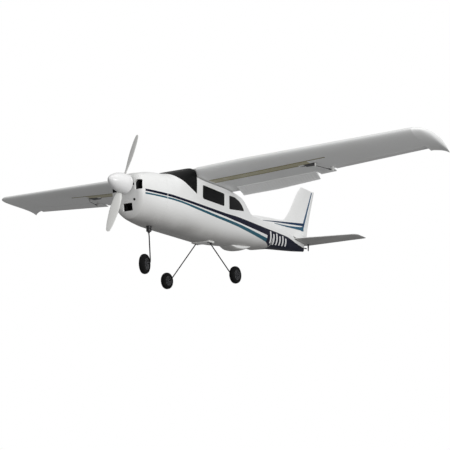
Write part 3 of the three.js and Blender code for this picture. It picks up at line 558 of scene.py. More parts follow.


# Painted shade under the body, laid in cloudy patches: heights in metres, upward part of the normal,
# colour.
UNDERSIDE_SHADE_HEIGHTS, UNDERSIDE_SHADE_FACING, UNDERSIDE_SHADE_COLOR = (0.232, 0.26), (-0.85, 0.05), (0.36, 0.35, 0.335)
FOAM_WHITE = foam_paint("foam_white", (0.87, 0.875, 0.87), (0.80, 0.80, 0.785))
BLACK_GLOSS = gloss_paint("black_window_paint", (0.0028, 0.003, 0.0034), 0.46, coat=0.02,
                          specular=0.14)
NAVY = gloss_paint("navy_film", (0.0016, 0.003, 0.016), 0.45, coat=0.02, specular=0.12)
TEAL = gloss_paint("teal_film", (0.013, 0.082, 0.12), 0.45, coat=0.02, specular=0.18)
FIN_DARK = gloss_paint("dark_blue_film", (0.005, 0.026, 0.072), 0.45, coat=0.02, specular=0.15)
FIN_MID = gloss_paint("mid_blue_film", (0.022, 0.088, 0.15), 0.45, coat=0.02, specular=0.18)
# Blue paint of the fin's hinge line, which also stands in part for painted shade of the rudder's hinge gap.
FIN_LINE_AND_GAP_SHADE = gloss_paint("slate_blue_film_and_gap_shade", (0.045, 0.095, 0.17), 0.45, coat=0.03)
WHITE_FILM = gloss_paint("white_film", (0.82, 0.82, 0.82), 0.32)
BLACK_PLASTIC = plastic("black_plastic", (0.014, 0.014, 0.015), 0.42)
CASE_PLASTIC = plastic("servo_case", (0.01, 0.01, 0.012), 0.34, 1800.0, 0.2)
NYLON = plastic("white_nylon", (0.78, 0.78, 0.76), 0.36, 1100.0, 0.05, 0.93)
HUB_PLASTIC = plastic("hub_plastic", (0.05, 0.051, 0.054), 0.45)
SCREW_STEEL = metal("screw_steel", (0.07, 0.07, 0.075), 0.38)
WIRE_STEEL = metal("spring_steel", (0.04, 0.041, 0.044), 0.4, (1, 1, 0.15))
BELL_METAL = metal("anodised_bell", (0.05, 0.052, 0.06), 0.3, (1, 0.1, 0.1), 1200.0)
BLUE_WRAP = gloss_paint("battery_wrap", (0.012, 0.04, 0.17), 0.28, 260.0)
SHRINK = gloss_paint("heat_shrink", (0.012, 0.012, 0.06), 0.33, 400.0, 0.1)
RED_LEAD = gloss_paint("red_silicone", (0.42, 0.012, 0.01), 0.45, 700.0, 0.0)
BLACK_LEAD = gloss_paint("black_silicone", (0.012, 0.012, 0.012), 0.45, 700.0, 0.0)
WHITE_SHELL = gloss_paint("white_spinner", (0.80, 0.80, 0.80), 0.34, 1200.0, 0.2)
YELLOW_PLASTIC = plastic("yellow_connector", (0.62, 0.36, 0.02), 0.4)


def rubber_paint():
    paint = Paint("tyre_rubber", (0.0035, 0.0035, 0.004), 0.85, Specular_IOR_Level=0.18)
    dust = paint.noise(70.0, 5)
    paint.vary(paint.ramp(dust, 0, 1, (0.5, 0.8)), (0.022, 0.021, 0.019), 0.6)
    paint.bump(paint.noise(1500.0, 3), 0.4, 0.12)
    return paint.rough(dust, 0.72, 0.92).mat


def fibre_paint(name, color, dark):
    """Resin and fibre laid along the wing: fine streaks running spanwise."""
    paint = Paint(name, color, 0.42, Coat_Weight=0.25, Coat_Roughness=0.2)
    streaks = paint.noise(900.0, 4, paint.stretched((1, 0.03, 1)))
    paint.vary(paint.ramp(streaks, 0, 1, (0.3, 0.75)), dark, 0.8)
    paint.vary(paint.noise(18.0, 3), tuple(c * 1.15 for c in color), 0.5)
    return paint.bump(streaks, 0.15, 0.06).rough(streaks, 0.34, 0.55).mat


def wood_paint():
    paint = Paint("birch_plywood", (0.56, 0.38, 0.21), 0.62)
    ring = paint.add("TexWave", {"Vector": paint.stretched((1, 0.25, 1)), "Scale": 160.0, "Distortion": 5.0,
                                 "Detail": 3.0}, bands_direction="Z").outputs["Fac"]
    plies = paint.add("TexWave", {"Vector": paint.coords, "Scale": 260.0},
                      bands_direction="X").outputs["Fac"]
    paint.vary(ring, (0.42, 0.26, 0.13), 0.7)
    paint.vary(paint.ramp(plies, 0, 1, (0.7, 0.9)), (0.25, 0.14, 0.07), 0.5)
    return paint.bump(ring, 0.2, 0.08).rough(ring, 0.55, 0.7).mat


def copper_paint():
    paint = Paint("copper_windings", (0.55, 0.24, 0.09), 0.32, Metallic=1.0)
    turns = paint.add("TexWave", {"Vector": paint.coords, "Scale": 900.0},
                      bands_direction="X").outputs["Fac"]
    paint.vary(turns, (0.2, 0.07, 0.03), 0.9)
    return paint.bump(turns, 0.6, 0.2).rough(turns, 0.25, 0.45).mat


def carbon_paint():
    paint = Paint("carbon_tube", (0.012, 0.012, 0.013), 0.3, Coat_Weight=0.6, Coat_Roughness=0.08)
    weave = paint.add("TexChecker", {"Vector": paint.coords, "Scale": 700.0}).outputs["Fac"]
    paint.vary(weave, (0.045, 0.046, 0.05), 0.9)
    return paint.bump(weave, 0.15, 0.05).mat


RUBBER = rubber_paint()
SPAR = fibre_paint("spar_fibre", (0.27, 0.235, 0.085), (0.13, 0.105, 0.035))
TAPE = fibre_paint("spar_tape", (0.50, 0.46, 0.29), (0.40, 0.36, 0.22))
PLYWOOD, COPPER, CARBON = wood_paint(), copper_paint(), carbon_paint()


# ------------------------------------------------------------------ fuselage
def hull(stations, wall, around=128, face_rings=()):
    """Skin of the fuselage inset by wall. face_rings are scales of rings that close its front."""
    angles = [2 * math.pi * k / around for k in range(around)]
    rows = [[hull_point(x, a, wall) for a in angles] for x in stations]
    return loft(rows + [[hull_point(stations[-1], a, wall, ring) for a in angles] for ring in face_rings])


def fairing_point(x, angle):
    c, s = math.cos(angle), math.sin(angle)
    low, high = fairing_low(x), belly(x) + 4
    z = (low + high) / 2 + (high - low) / 2 * sign(s) * abs(s) ** 0.6
    narrow = 1 - 0.25 * s * s if s < 0 else 1
    taper = min(1, 0.55 + 0.45 * math.sin(math.pi * (x + 88) / 128) ** 0.5)
    half = FAIRING_HALF * narrow * taper
    return Vector((x, half * sign(c) * abs(c) ** 0.6, z))


def root_section(extra, count=36):
    lower = []
    for k in range(count):
        c = (1 - math.cos(math.pi * (k + 0.5) / count)) / 2
        lower.append((wing_x(0, c) + 2 * extra * (1 - c) ** 8, wing_z(0, c, -1) - extra))
    front, rear = ROOT_LE + 2 * extra, ROOT_LE - ROOT_CHORD - extra
    return [(front, ROOT_Z), *lower, (rear, lower[-1][1]), (rear, 340), (front, 340)]


def grown(outline, by):
    middle = [sum(p[k] for p in outline) / len(outline) for k in (0, 1)]
    return [(x + by * sign(x - middle[0]), z + by * sign(z - middle[1])) for x, z in outline]


def on_hinge_line(surface, y):
    inner, outer = hinge_point(surface, surface[0]), hinge_point(surface, surface[1])
    return inner.lerp(outer, (y - surface[0]) / (surface[1] - surface[0]))


BODY_STATIONS = steps(-482, COWL_X, 150)
CRANK_TOP = on_hinge_line(FLAP, 12)
ROD_PASSAGE = [on_hinge_line(FLAP, FLAP[0] + 42), on_hinge_line(FLAP, 10)]
ELEVATOR_ROUTE = [(43, 7, 180.9), (-485, 13, 208)]
RUDDER_ROUTE = [(43, -7, 180.9), (-479, -19, 258)]


def crank_bay():
    x, _, z = CRANK_TOP
    return box(x - 14, x + 14, 7, 18, z - 40, z + 3)


def bolt_tools():
    """The wing bolt's hole, and the clearance round its head."""
    return [rod("z", 2.85, 60, (BOLT_X, BOLT_Y, 262)), rod("z", 6.35, 20,
                                                           (BOLT_X, BOLT_Y, BOLT_SEAT + 9.65))]


PANE = 1.6                                              # thickness of the side windows


def build_fuselage():
    skin = hull(BODY_STATIONS, 0)
    fairing = loft([closed_row(48, lambda angle, x=x: fairing_point(x, angle)) for x in steps(-84, 38, 30)])
    cavity = hull(steps(-330, COWL_X + 1, 80), FOAM, 72)
    bridge = carve(box(92, 122, -90, 90, 254, 300), skin, how="INTERSECT")
    shell = carve(weld(skin, fairing), cavity)
    saddle = carve(slab(root_section(GAP), -90, 90), box(GLASS[0][0] - GAP, 340, -91, 91, 200, 400))
    shell = carve(weld(shell, bridge), saddle)
    hatch = carve(twin(shell), slab(GLASS, -90, 90), how="INTERSECT")
    piece(hatch, "windscreen", "hatch", BLACK_GLOSS, "windscreen_hatch", "black_foam")
    inside = hull(steps(-10, COWL_X, 70), PANE)
    deeper = hull(steps(-12, COWL_X, 70), PANE + GAP)
    tools = [slab(grown(GLASS, GAP), -90, 90), box(-500, -384, -30, 30, TAIL_Z - 5, 260),
             rod("z", 7.35, 60, (NOSE_POST_X, 0, 130), 40), box(139.65, 168.35, -30.35, 30.35, 110, 131.35),
             box(-86, -26, -12, 12, 139, 165), tube(ROD_PASSAGE, 2.4), crank_bay(), bolt_tools()[0]]
    for word, outline in WINDOWS.items():
        rounded = filleted(outline, 5)
        pane = carve(carve(slab(rounded, 40, 90), skin, how="INTERSECT"), inside)
        soften(pane, 0.35, 50)
        for side_word, side in SIDES:
            piece(on_side(pane, side), f"side_window_{word}_{side_word}.pane", "airframe", BLACK_GLOSS,
                  f"side_window_{word}_{side_word}", "black_foam")
        tools.append(carve(slab(filleted(grown(outline, GAP), 5), 40, 90), deeper))
    half = carve(shell, box(-600, 600, -200, 0.12, 0, 400), *tools)
    left = carve(twin(half), tube(ELEVATOR_ROUTE, 2))
    right = carve(flip(half), tube(RUDDER_ROUTE, 2))
    piece(left, "fuselage_half_left", "airframe", FOAM_WHITE, "fuselage_left", "foam")
    piece(right, "fuselage_half_right", "airframe", FOAM_WHITE, "fuselage_right", "foam")


def bar(outline, x0, x1):
    """A (y, z) outline extruded along X."""
    return loft([[(x, y, z) for y, z in outline] for x in (x0, x1)])


CHEEK = [(27.5, 202.5), (48, 202.5), (48, 227), (33, 227), (27.5, 221.5)]
CHIN = [(-15, 152), (15, 152), (15, 171.5), (-15, 171.5)]
SCREWS = [(23.5, 178.5), (23, 217)]


def build_cowl():
    rings = (0.97, 0.92, 0.84, 0.76, 0.68, 0.6, 0.52, 0.44, 0.36, 0.28, 0.2, 0.12, 0.05)
    lip = [COWL_FRONT_X - COWL_LIP * math.cos(math.pi * k / 32) for k in range(1, 16)]
    outer = hull([418.35, *steps(424, 496, 18), *lip, 509.75], 0, face_rings=rings)
    inner = hull([417, *steps(430, 496, 12), 500, 504], COWL_WALL, 96, rings)
    cheek, chin = filleted(CHEEK, 3), filleted(CHIN, 2.5)
    mirror = [(-y, z) for y, z in cheek]
    holes = [rod("x", 2.6, 30, (505, side * y, z)) for y, z in SCREWS for side in (1, -1)]
    cowl = carve(outer, inner, bar(cheek, 470, 520), bar(mirror, 470, 520), bar(chin, 478, 520),
                 rod("x", 11, 40, (505, 0, THRUST_Z), 48), *holes)
    soften(cowl, 0.7, 50)
    piece(cowl, "nose_cowl.shell", "airframe", FOAM_WHITE, "nose_cowl", "foam")
    # Painted shade: black liners close the three intakes and stand for the shade inside the openings.
    shade_liners = []
    for outline, rear, front in ((cheek, 478, 501.5), (mirror, 478, 501.5), (chin, 470, 488)):
        middle = [sum(p[k] for p in outline) / len(outline) for k in (0, 1)]
        smaller = [tuple(m + (v - m) * 0.88 for v, m in zip(p, middle)) for p in outline]
        larger = [tuple(m + (v - m) * 1.06 for v, m in zip(p, middle)) for p in outline]
        shade_liners.append(carve(bar(larger, rear, front), bar(smaller, rear + 1.5, 520)))
    piece(gather(shade_liners), "cowl_intake_shade_liners", "airframe", BLACK_PLASTIC, slot="black_plastic")
    heads = []
    for y, z in SCREWS:
        for side in (1, -1):
            ring = lathe([(1.9, -3), (2.55, -3), (2.55, 0), (3.3, 0.1), (3.2, 0.45), (2.2, 0.7),
                          (1.9, 0.4)],
                         28, "x", (0, 0, 0), closed=True)
            head = lathe([(0, -2.6), (1.85, -2.6), (1.85, -1.6), (1.3, -1), (0, -0.8)], 20, "x", (0, 0, 0))
            slots = [box(-1.5, 0, -0.3, 0.3, -1.3, 1.3), box(-1.5, 0, -1.3, 1.3, -0.3, 0.3)]
            lean = math.atan(leaned_back(COWL_FRONT_X, z - 1) / 2 - leaned_back(COWL_FRONT_X, z + 1) / 2)
            place = Matrix.Translation(Vector((509.75 - leaned_back(COWL_FRONT_X, z), side * y, z)) * MM)
            for part in (ring, carve(head, *slots)):
                part.data.transform(place @ Matrix.Rotation(lean, 4, "Y"))
                heads.append(part)
    piece(gather(heads), "cowl_screws", "airframe", BLACK_PLASTIC, slot="black_plastic")


# ------------------------------------------------------------------ stripes and other films
def film(name, grid, material, side, lift=0.16):
    """A thin film over a grid of (point, outward normal), laid lift mm above the skin."""
    points, faces = [], []
    rows, across = len(grid), len(grid[0])
    for height in (lift, 0.04):
        for row in grid:
            points += [(p[0] + n[0] * height, side * (p[1] + n[1] * height), p[2] + n[2] * height)
                       for p, n in row]
    under = rows * across
    for i in range(rows - 1):
        for k in range(across - 1):
            quad = [i * across + k, i * across + k + 1, (i + 1) * across + k + 1, (i + 1) * across + k]
            faces += [tuple(quad), tuple(under + q for q in reversed(quad))]
    rim = ([k for k in range(across)] + [i * across + across - 1 for i in range(1, rows)]
           + [(rows - 1) * across + k for k in range(across - 2, -1, -1)]
           + [i * across for i in range(rows - 2, 0, -1)])
    for a, b in zip(rim, rim[1:] + rim[:1]):
        faces.append((a, b, under + b, under + a))
    piece(shape(points, faces), name, "airframe", material, slot="foam")


def on_hull(x, angle):
    """A point of the fuselage's skin and its outward normal."""
    p = hull_point(x, angle)
    along = hull_point(x + 2, angle) - hull_point(x - 2, angle)
    around = hull_point(x, angle + 0.02) - hull_point(x, angle - 0.02)
    return p, around.cross(along).normalized()


def hull_band(name, x0, x1, upper, lower, material, across=8):
    """A film on both sides of the fuselage between two height curves, or down to the keel."""
    for word, side in SIDES:
        grid = []
        for x in steps(x0, x1, int((x1 - x0) / 5)):
            high = hull_angle(x, upper(x))
            low = hull_angle(x, lower(x)) if lower(x) > belly(x) + 0.5 else math.radians(-89.6)
            grid.append([on_hull(x, mix(low, high, k / across)) for k in range(across + 1)])
        film(f"{name}_{word}", grid, material, side)


UPPER_TOP = smooth([(-147, 215.6), (74, 210.4), (150, 206.8), (278, 206.6),
                    (392, 206.6), (455, 205.4), (503, 204)])
UPPER_LOW = smooth([(-147, 195.7), (74, 196), (150, 197.4), (278, 199.2),
                    (392, 199.9), (455, 199.2), (503, 198.4)])
LOWER_TOP = smooth([(-147, 186), (71, 191.4), (150, 191.6), (278, 195.6),
                    (371, 198), (440, 197), (503, 195)])
LOWER_LOW = smooth([(-147, 174.5), (71, 182), (150, 183.6), (278, 189),
                    (371, 193), (440, 192.6), (503, 191)])
PATCH_TOP = smooth([(-482, 208), (-440, 210), (-388, 213), (-340, 218),
                    (-310, 219.5), (-240, 218.4), (-147, 215.6)])
PATCH_LOW = smooth([(-482, 150), (-200, 160), (-190, 166), (-147, 174.5)])

PATCH_X = -147                                          # where the stripes meet the tail patch


def build_films():
    for name, upper, lower, paint in (("navy", UPPER_TOP, UPPER_LOW, NAVY),
                                      ("teal", LOWER_TOP, LOWER_LOW, TEAL)):
        hull_band(f"stripe_{name}_body", PATCH_X, COWL_X - 1, upper, lower, paint)
        hull_band(f"stripe_{name}_cowl", COWL_X + 1, 497, upper, lower, paint)
    hull_band("tail_patch", -481, PATCH_X, PATCH_TOP, PATCH_LOW, NAVY, across=24)
    for i in range(6):
        x, tall = -178 - 25 * i, 1 if i % 2 == 0 else 0.86
        grid = []
        low, high = max(PATCH_LOW(x), belly(x) + 3) + 7, PATCH_TOP(x) - 4.5
        for z in steps(low, mix(low, high, tall), 8):
            lean = (z - low) * 0.22
            grid.append([on_hull(x + lean + w, hull_angle(x + lean + w, z)) for w in steps(-5, 5, 3)])
        for word, side in SIDES:
            film(f"tail_bar_{i + 1}_{word}", grid, WHITE_FILM, side, 0.3)


# ------------------------------------------------------------------ wings
TIP_ROWS = [(670, 0, 0, 1, 0), (690, 12, 8, 0.8, 3), (701, 40, 13, 0.55, 7), (706, 95, 16, 0.3, 10)]
TIP_NOSE, TIP_GROW, TIP_THIN, TIP_DROOP = (smooth([(row[0], row[k]) for row in TIP_ROWS])
                                           for k in (1, 2, 3, 4))
SERVO_SKIN = lower_z(202, SERVO_Y1)
ARM_Z = SERVO_SKIN + 4


def wing_row(y, around=96):
    nose, grow, thin, droop = (f(y) if y > 670 else d for f, d in
                               ((TIP_NOSE, 0), (TIP_GROW, 0), (TIP_THIN, 1), (TIP_DROOP, 0)))

    def point(angle):
        c, side = (1 + math.cos(angle)) / 2, sign(math.sin(angle))
        return wing_x(y, c) - nose * (1 - c) - grow * c, y, wing_z(y, c, side, thin, droop * c)
    return closed_row(around, point)


def surface_row(surface, y, around=48, ribs=0):
    hinge, trailing = hinge_point(surface, y), wing_x(y, 1)

    def point(angle):
        back = (1 - math.cos(angle)) / 2
        x = hinge.x - (hinge.x - trailing) * back
        c = wing_c(y, x)
        high, low = wing_z(y, c, 1), wing_z(y, c, -1)
        fade = min(max((back - 0.14) / 0.08, 0), 1) * min(max((0.93 - back) / 0.06, 0), 1)
        half = min((high - low) / 2, 0.3 + (hinge.x - x) * 1.1) - ribs * fade
        return x, y, (high + low) / 2 + sign(math.sin(angle)) * half
    return closed_row(around, point)


def surface_bay(surface):
    inner, outer = surface[0], surface[1]
    return plate([(hinge_x(surface, inner) + 0.6, inner - GAP),
                  (hinge_x(surface, outer) + 0.6, outer + GAP),
                  (60, outer + GAP), (60, inner - GAP)], 260, 340)


def strip(x, end, grow=0):
    """A fibre strip let into the wing's underside, or the groove for it with grow above 0."""
    rows, half, high, low = [], 3 + grow, 1.4 + grow, 0.2 + grow * 8
    for y in steps(STRIP_START_Y - grow, end + grow, 40):
        rear, front = lower_z(x - half, y), lower_z(x + half, y)
        rows.append([(x - half, y, rear - low), (x + half, y, front - low),
                     (x + half, y, front + high), (x - half, y, rear + high)])
    return loft(rows)


def rib_depth(y):
    """Depth of the flap's moulded ribs, which stand 9 mm apart."""
    return 0.42 * (0.5 - 0.5 * math.cos(2 * math.pi * (y - 106) / 9)) ** 0.7 if 106 < y < 342 else 0


def build_wings():
    stations = [GAP / 2, 76, 145, BREAK_Y, 330, 450, 560, 640, *steps(670, 700, 15), 702, 703.5, 704.8,
                705.6, 706]
    panel = loft([wing_row(y) for y in stations])
    servo_hole = box(SERVO_X0 - GAP, SERVO_X1 + GAP, SERVO_Y0 - GAP, SERVO_Y1 + GAP,
                     SERVO_SKIN - 5, SERVO_SKIN + 12.4)
    arm_hole = box(ARM_X - 8, ARM_X + 8, SERVO_Y1, ARM_Y + 5, ARM_Z - 30, ARM_Z + 6)
    grooves = [strip(x, end, GAP) for _, x, end in STRIPS]
    wing = carve(panel, plate(NOTCH, 240, 340), surface_bay(FLAP), surface_bay(AILERON), *grooves,
                 servo_hole, arm_hole, rod("y", JOINER_RADIUS, 342, (JOINER_X, 0, JOINER_Z)),
                 *bolt_tools(), tube(ROD_PASSAGE, 2.4), crank_bay())
    flap_rows = [surface_row(FLAP, y, ribs=rib_depth(y)) for y in steps(FLAP[0] + GAP, FLAP[1] - GAP, 165)]
    aileron_rows = [surface_row(AILERON, y) for y in steps(AILERON[0] + GAP, AILERON[1] - GAP, 24)]
    flap, aileron = soften(loft(flap_rows), 0.4, 60), soften(loft(aileron_rows), 0.4, 60)
    hinge = hinge_point(AILERON, HORN_Y)
    horn_outline = [(hinge.x - 2, hinge.z + 0.5), (hinge.x - 13, hinge.z + 0.5),
                    (hinge.x - 5.2, hinge.z - 18), (hinge.x - 1.2, hinge.z - 18)]
    horn = slab(filleted(horn_outline, 1.4), HORN_Y - 0.9, HORN_Y + 0.9)
    holes = [rod("y", 0.6, 6, (hinge.x - 3, HORN_Y, hinge.z - d), 12) for d in (HORN_DROP, HORN_DROP - 3.6)]
    foot = block(hinge.x - 17, hinge.x - 5.5, HORN_Y - 4, HORN_Y + 4, hinge.z - 6.3, hinge.z - 4.6, 0.4)
    horn = weld(soften(carve(horn, *holes), 0.25), foot)
    for word, side in SIDES:
        piece(on_side(wing, side), f"wing_panel_{word}", "airframe", FOAM_WHITE, f"wing_{word}", "foam")
        rest = AILERON_REST[side]
        hung = (("flap", flap, FLAP_REST, FOAM_WHITE, f"flap_{word}", "foam"),
                ("aileron", aileron, rest, FOAM_WHITE, f"aileron_{word}", "foam"),
                ("aileron", horn, rest, NYLON, (), "white_plastic"))
        for kind, source, degrees, paint, stands_for, slot in hung:
            part = on_side(source, side)
            part.data.transform(turned_to(f"{kind}_{word}_hinge", degrees))
            label = f"{kind}_{word}.surface" if stands_for else f"aileron_horn_{word}"
            piece(part, label, f"{kind}_{word}", paint, stands_for, slot, 30)
        build_spars(word, side)
        build_aileron_servo(word, side)
        build_aileron_pushrod(word, side, hinge, rest)
        build_wing_bolt(word, side)


def build_spars(word, side):
    for place, x, end in STRIPS:
        piece(on_side(soften(strip(x, end), 0.35, 50), side), f"spar_strip_{place}_{word}.bar", "airframe",
              SPAR,
              f"spar_strip_{place}_{word}", "spar_fibre")
    rows = []
    for y in steps(STRIP_START_Y, 372, 60):
        rows.append([(x, y, lower_z(x, y) - 0.1) for x in steps(213.6, 236.4, 8)]
                    + [(x, y, lower_z(x, y) + 0.3) for x in steps(236.4, 213.6, 8)])
    piece(on_side(loft(rows), side), f"spar_tape_{word}", "airframe", TAPE, slot="spar_fibre")


def build_aileron_servo(word, side):
    z = SERVO_SKIN
    case = block(SERVO_X0, SERVO_X1, SERVO_Y0, SERVO_Y1, z - 1.5, z + 12, 0.9)
    seam = block(SERVO_X0 + 0.4, SERVO_X1 - 0.4, 374.6, 375, z - 1.7, z + 11.5, 0.1)
    label = block(198, 206, 356, 368, z - 1.9, z - 1.2, 0.5)
    boss = soften(rod("y", 5.2, 5, (ARM_X, 379.2, ARM_Z), 32), 0.5, 50)
    case = gather([case, seam, label, boss])
    piece(on_side(case, side), f"aileron_servo_{word}.case", "airframe", CASE_PLASTIC,
          f"aileron_servo_{word}",
          "servo_case")
    route = [(200, 350.5, z - 0.9), (200, 344, z - 1.4), (203, 337, z - 0.8), (218, 330, z + 1)]
    lead = tube(filleted(route, 5), 1.1, 10)
    piece(on_side(lead, side), f"aileron_servo_lead_{word}", "airframe", BLACK_LEAD, slot="servo_case")

    corners = ((-1, 382.2), (1, 382.2), (1, 383.7), (-1, 383.7))
    taper = loft([[(ARM_X + a * w, y, z) for a, y in corners] for z,
                  w in ((ARM_Z, 3), (ARM_Z - ARM_REACH, 1.5))])
    lever = weld(rod("y", 3.4, 4, (ARM_X, 382.7, ARM_Z), 32), taper)
    pins = [rod("y", 0.6, 6, (ARM_X, 383, ARM_Z - d), 12) for d in (11, 8.4)]
    lever = soften(carve(lever, *pins), 0.2, 50, 1)
    piece(on_side(lever, side), f"aileron_servo_arm_{word}.lever", f"aileron_arm_{word}", NYLON,
          f"aileron_servo_arm_{word}", "white_plastic")


def build_aileron_pushrod(word, side, hinge, rest):
    """The wire from the servo's arm to the horn, whose hinge point and rest angle are given."""
    start = Vector((ARM_X - 3, ARM_Y + 4, ARM_Z - ARM_REACH + 2))
    drop = Matrix.Rotation(math.radians(rest), 3, "Y") @ Vector((-3, 0, -HORN_DROP))
    end = Vector((hinge.x + drop.x + 3, HORN_Y - 3, hinge.z + drop.z))
    ahead = (end - start).normalized()
    bent = filleted([start + Vector((0.2, -1.6, 0)), start + ahead * 1.5, end - ahead * 6], 1)
    piece(on_side(tube(bent, 0.75, 14), side), f"aileron_pushrod_{word}.wire", f"aileron_rod_{word}",
          WIRE_STEEL,
          f"aileron_pushrod_{word}", "spring_steel")
    clevis = tube([end - ahead * d for d in (10, 9.4, 2, 0.3)], [1.2, 1.6, 1.6, 1.0], 14)
    piece(on_side(clevis, side), f"aileron_clevis_{word}", f"aileron_rod_{word}", BLACK_PLASTIC,
          slot="black_plastic")


def build_wing_bolt(word, side):
    profile = [(0, 4), (5.4, 4), (6, 3.4), (6, 0), (2.5, 0), (2.5, -28), (0, -28)]
    slot = box(BOLT_X - 8, BOLT_X + 8, BOLT_Y - 0.6, BOLT_Y + 0.6, BOLT_SEAT + 2, BOLT_SEAT + 5.8)
    bolt = soften(carve(lathe(profile, 40, "z", (BOLT_X, BOLT_Y, BOLT_SEAT)), slot), 0.15, 50, 1)
    piece(on_side(bolt, side), f"wing_bolt_{word}.nylon", "airframe", NYLON, f"wing_bolt_{word}",
          "white_plastic")


# ------------------------------------------------------------------ tail
def hinge_at(z):
    return mix(-468, -560, (z - 252) / 178)


def fin_edges(z):
    return fin_lead(z), (-481 if z < 252 else hinge_at(z) + 0.8)


def crown(z, shoulder):
    """How much the rounded top thins a section that is above shoulder."""
    return math.sqrt(max(0, 1 - max(0, (z - shoulder) / 3.5) ** 2 * 0.9))


def fin_half(x, z):
    lead, trail = fin_edges(z)
    c = min(max((x - lead) / (trail - lead), 0), 1)
    return (6 - 2 * (z - 236) / 193) * min(math.sqrt(c) * 1.6, 1) * (1 - 0.25 * c) * crown(z, 425.5)


def fin_row(z, around=64):
    lead, trail = fin_edges(z)

    def point(angle):
        x = lead + (trail - lead) * (1 + math.cos(angle)) / 2
        return x, sign(math.sin(angle)) * fin_half(x, z), z
    return closed_row(around, point)


def rudder_row(z, around=40):
    lead, trail = hinge_at(z), rudder_trail(z) + 0.25

    def point(angle):
        back = (lead - trail) * (1 + math.cos(angle)) / 2
        half = min(0.3 + back * 0.9, 4 - 3 * back / (lead - trail)) * crown(z, 427.5)
        return lead - back, sign(math.sin(angle)) * half, z
    return closed_row(around, point)


TAIL_NOSE = smooth([(212, 0), (222, 5), (227, 16)])
TAIL_THIN = smooth([(212, 1), (222, 0.8), (227, 0.45)])


def tail_row(y, front_limit, rear_limit, around=56):
    out = min(abs(y) / 212, 1)
    nose, thin = (TAIL_NOSE(abs(y)), TAIL_THIN(abs(y))) if abs(y) > 212 else (0, 1)
    lead, trail = mix(-388, -421, out) - nose, mix(-535, -509, out) + nose * 0.4
    front, rear = min(lead, front_limit), max(trail, rear_limit)

    def point(angle):
        x = front + (rear - front) * (1 + math.cos(angle)) / 2
        c = (lead - x) / (lead - trail)
        half = max(0.06 * half_thickness(c) * (lead - trail) * thin, 0.9 * thin ** 0.5)
        if rear_limit < TAIL_HINGE:
            half = min(half, 0.3 + (TAIL_HINGE - x) * 1.1)
        return x, y, TAIL_Z + sign(math.sin(angle)) * half
    return closed_row(around, point)


def fin_film(name, paint, spots):
    """A film on both sides of the fin. spots are (x, upper z, lower z)."""
    high, low = smooth(sorted((x, u) for x, u, _ in spots)), smooth(sorted((x, d) for x, _, d in spots))
    for word, side in SIDES:
        grid = []
        for x in steps(spots[0][0], spots[-1][0], 50):
            grid.append([((x, fin_half(x, z), z), (0, 1, 0)) for z in steps(low(x), high(x), 4)])
        film(f"{name}_{word}", grid, paint, side, 0.3)


def build_tail():
    levels = [234.2, 240, 245, 249, *steps(251.9, 300, 48), *steps(305, 421, 14),
              424, 425.5, 427, 428, 428.6, 429]
    fin = carve(loft([fin_row(z) for z in levels]), hull(BODY_STATIONS, -GAP, 96),
                box(-490, -467.2, -20, 20, 251.9, 253))
    piece(fin, "fin.panel", "airframe", FOAM_WHITE, "fin", "foam")
    rudder = loft([rudder_row(z) for z in [253, 254, *steps(262, 424, 16), 427.5, 429, 430, 430.6, 431]])
    piece(soften(rudder, 0.3, 60), "rudder.panel", "rudder", FOAM_WHITE, "rudder", "foam")
    horn = plate(filleted([(-480, 1), (-492, 1), (-488, -20), (-484, -20)], 1.2), 259.1, 260.9)
    horn = carve(horn, *[rod("z", 0.6, 8, (-485.6, y, 260), 12) for y in (-18, -14.6)])
    piece(soften(horn, 0.25, 50), "rudder_horn", "rudder", NYLON, slot="white_plastic")
    across = [-227, -226.4, -225.5, -224, -222, -219, -216, -212]
    across += [*steps(-200, 200, 20), *[-y for y in reversed(across)]]
    plane = loft([tail_row(y, 0, TAIL_HINGE + 0.6) for y in across])
    piece(plane, "tailplane.panel", "airframe", FOAM_WHITE, "tailplane", "foam")
    elevator = loft([tail_row(y, TAIL_HINGE, -600) for y in across])
    piece(elevator, "elevator.panel", "elevator", FOAM_WHITE, "elevator", "foam")
    horn = slab(filleted([(-486, 225), (-497, 225), (-493, 200), (-489, 200)], 1.2), 15.1, 16.9)
    horn = carve(horn, *[rod("y", 0.6, 8, (-490.9, 16, z), 12) for z in (202.4, 206)])
    piece(soften(horn, 0.25, 50), "elevator_horn.plate", "elevator", BLACK_PLASTIC, "elevator_horn",
          "black_plastic")
    for name, route in (("elevator", ELEVATOR_ROUTE), ("rudder", RUDDER_ROUTE)):
        body = f"{name}_rod"
        start, end = Vector(route[0]), Vector(route[1])
        ahead = (end - start).normalized()
        piece(tube([start, end - ahead * 8], 0.95, 14), f"{name}_pushrod.wire", body, WIRE_STEEL,
              f"{name}_pushrod", "spring_steel")
        link = tube([end - ahead * 16, end - ahead * 15, end - ahead * 3, end], [1.3, 2.1, 2.1, 1.2], 16)
        piece(link, f"{name}_clevis", body, BLACK_PLASTIC, slot="black_plastic")
    fin_film("fin_stripe_dark", FIN_DARK, [(-183, 255.6, 254.4), (-300, 272.5, 267.8), (-400, 286.5, 279),
                                           (-486, 298.5, 288.5)])
    fin_film("fin_stripe_mid", FIN_MID, [(-265, 260.6, 259.2), (-350, 267.5, 262.5), (-420, 275.5, 267),
                                         (-480.5, 285, 270)])
    # The line along the hinge is blue paint and, in part, painted shade of the rudder's hinge gap.
    for word, side in SIDES:
        grid = []
        for z in steps(268, 424, 60):
            wide = mix(17, 8, (z - 268) / 156)
            spots = steps(hinge_at(z) + 1.2, hinge_at(z) + wide, 4)
            grid.append([((x, fin_half(x, z), z), (0, 1, 0)) for x in spots])
        film(f"fin_edge_line_{word}", grid, FIN_LINE_AND_GAP_SHADE, side, 0.22)


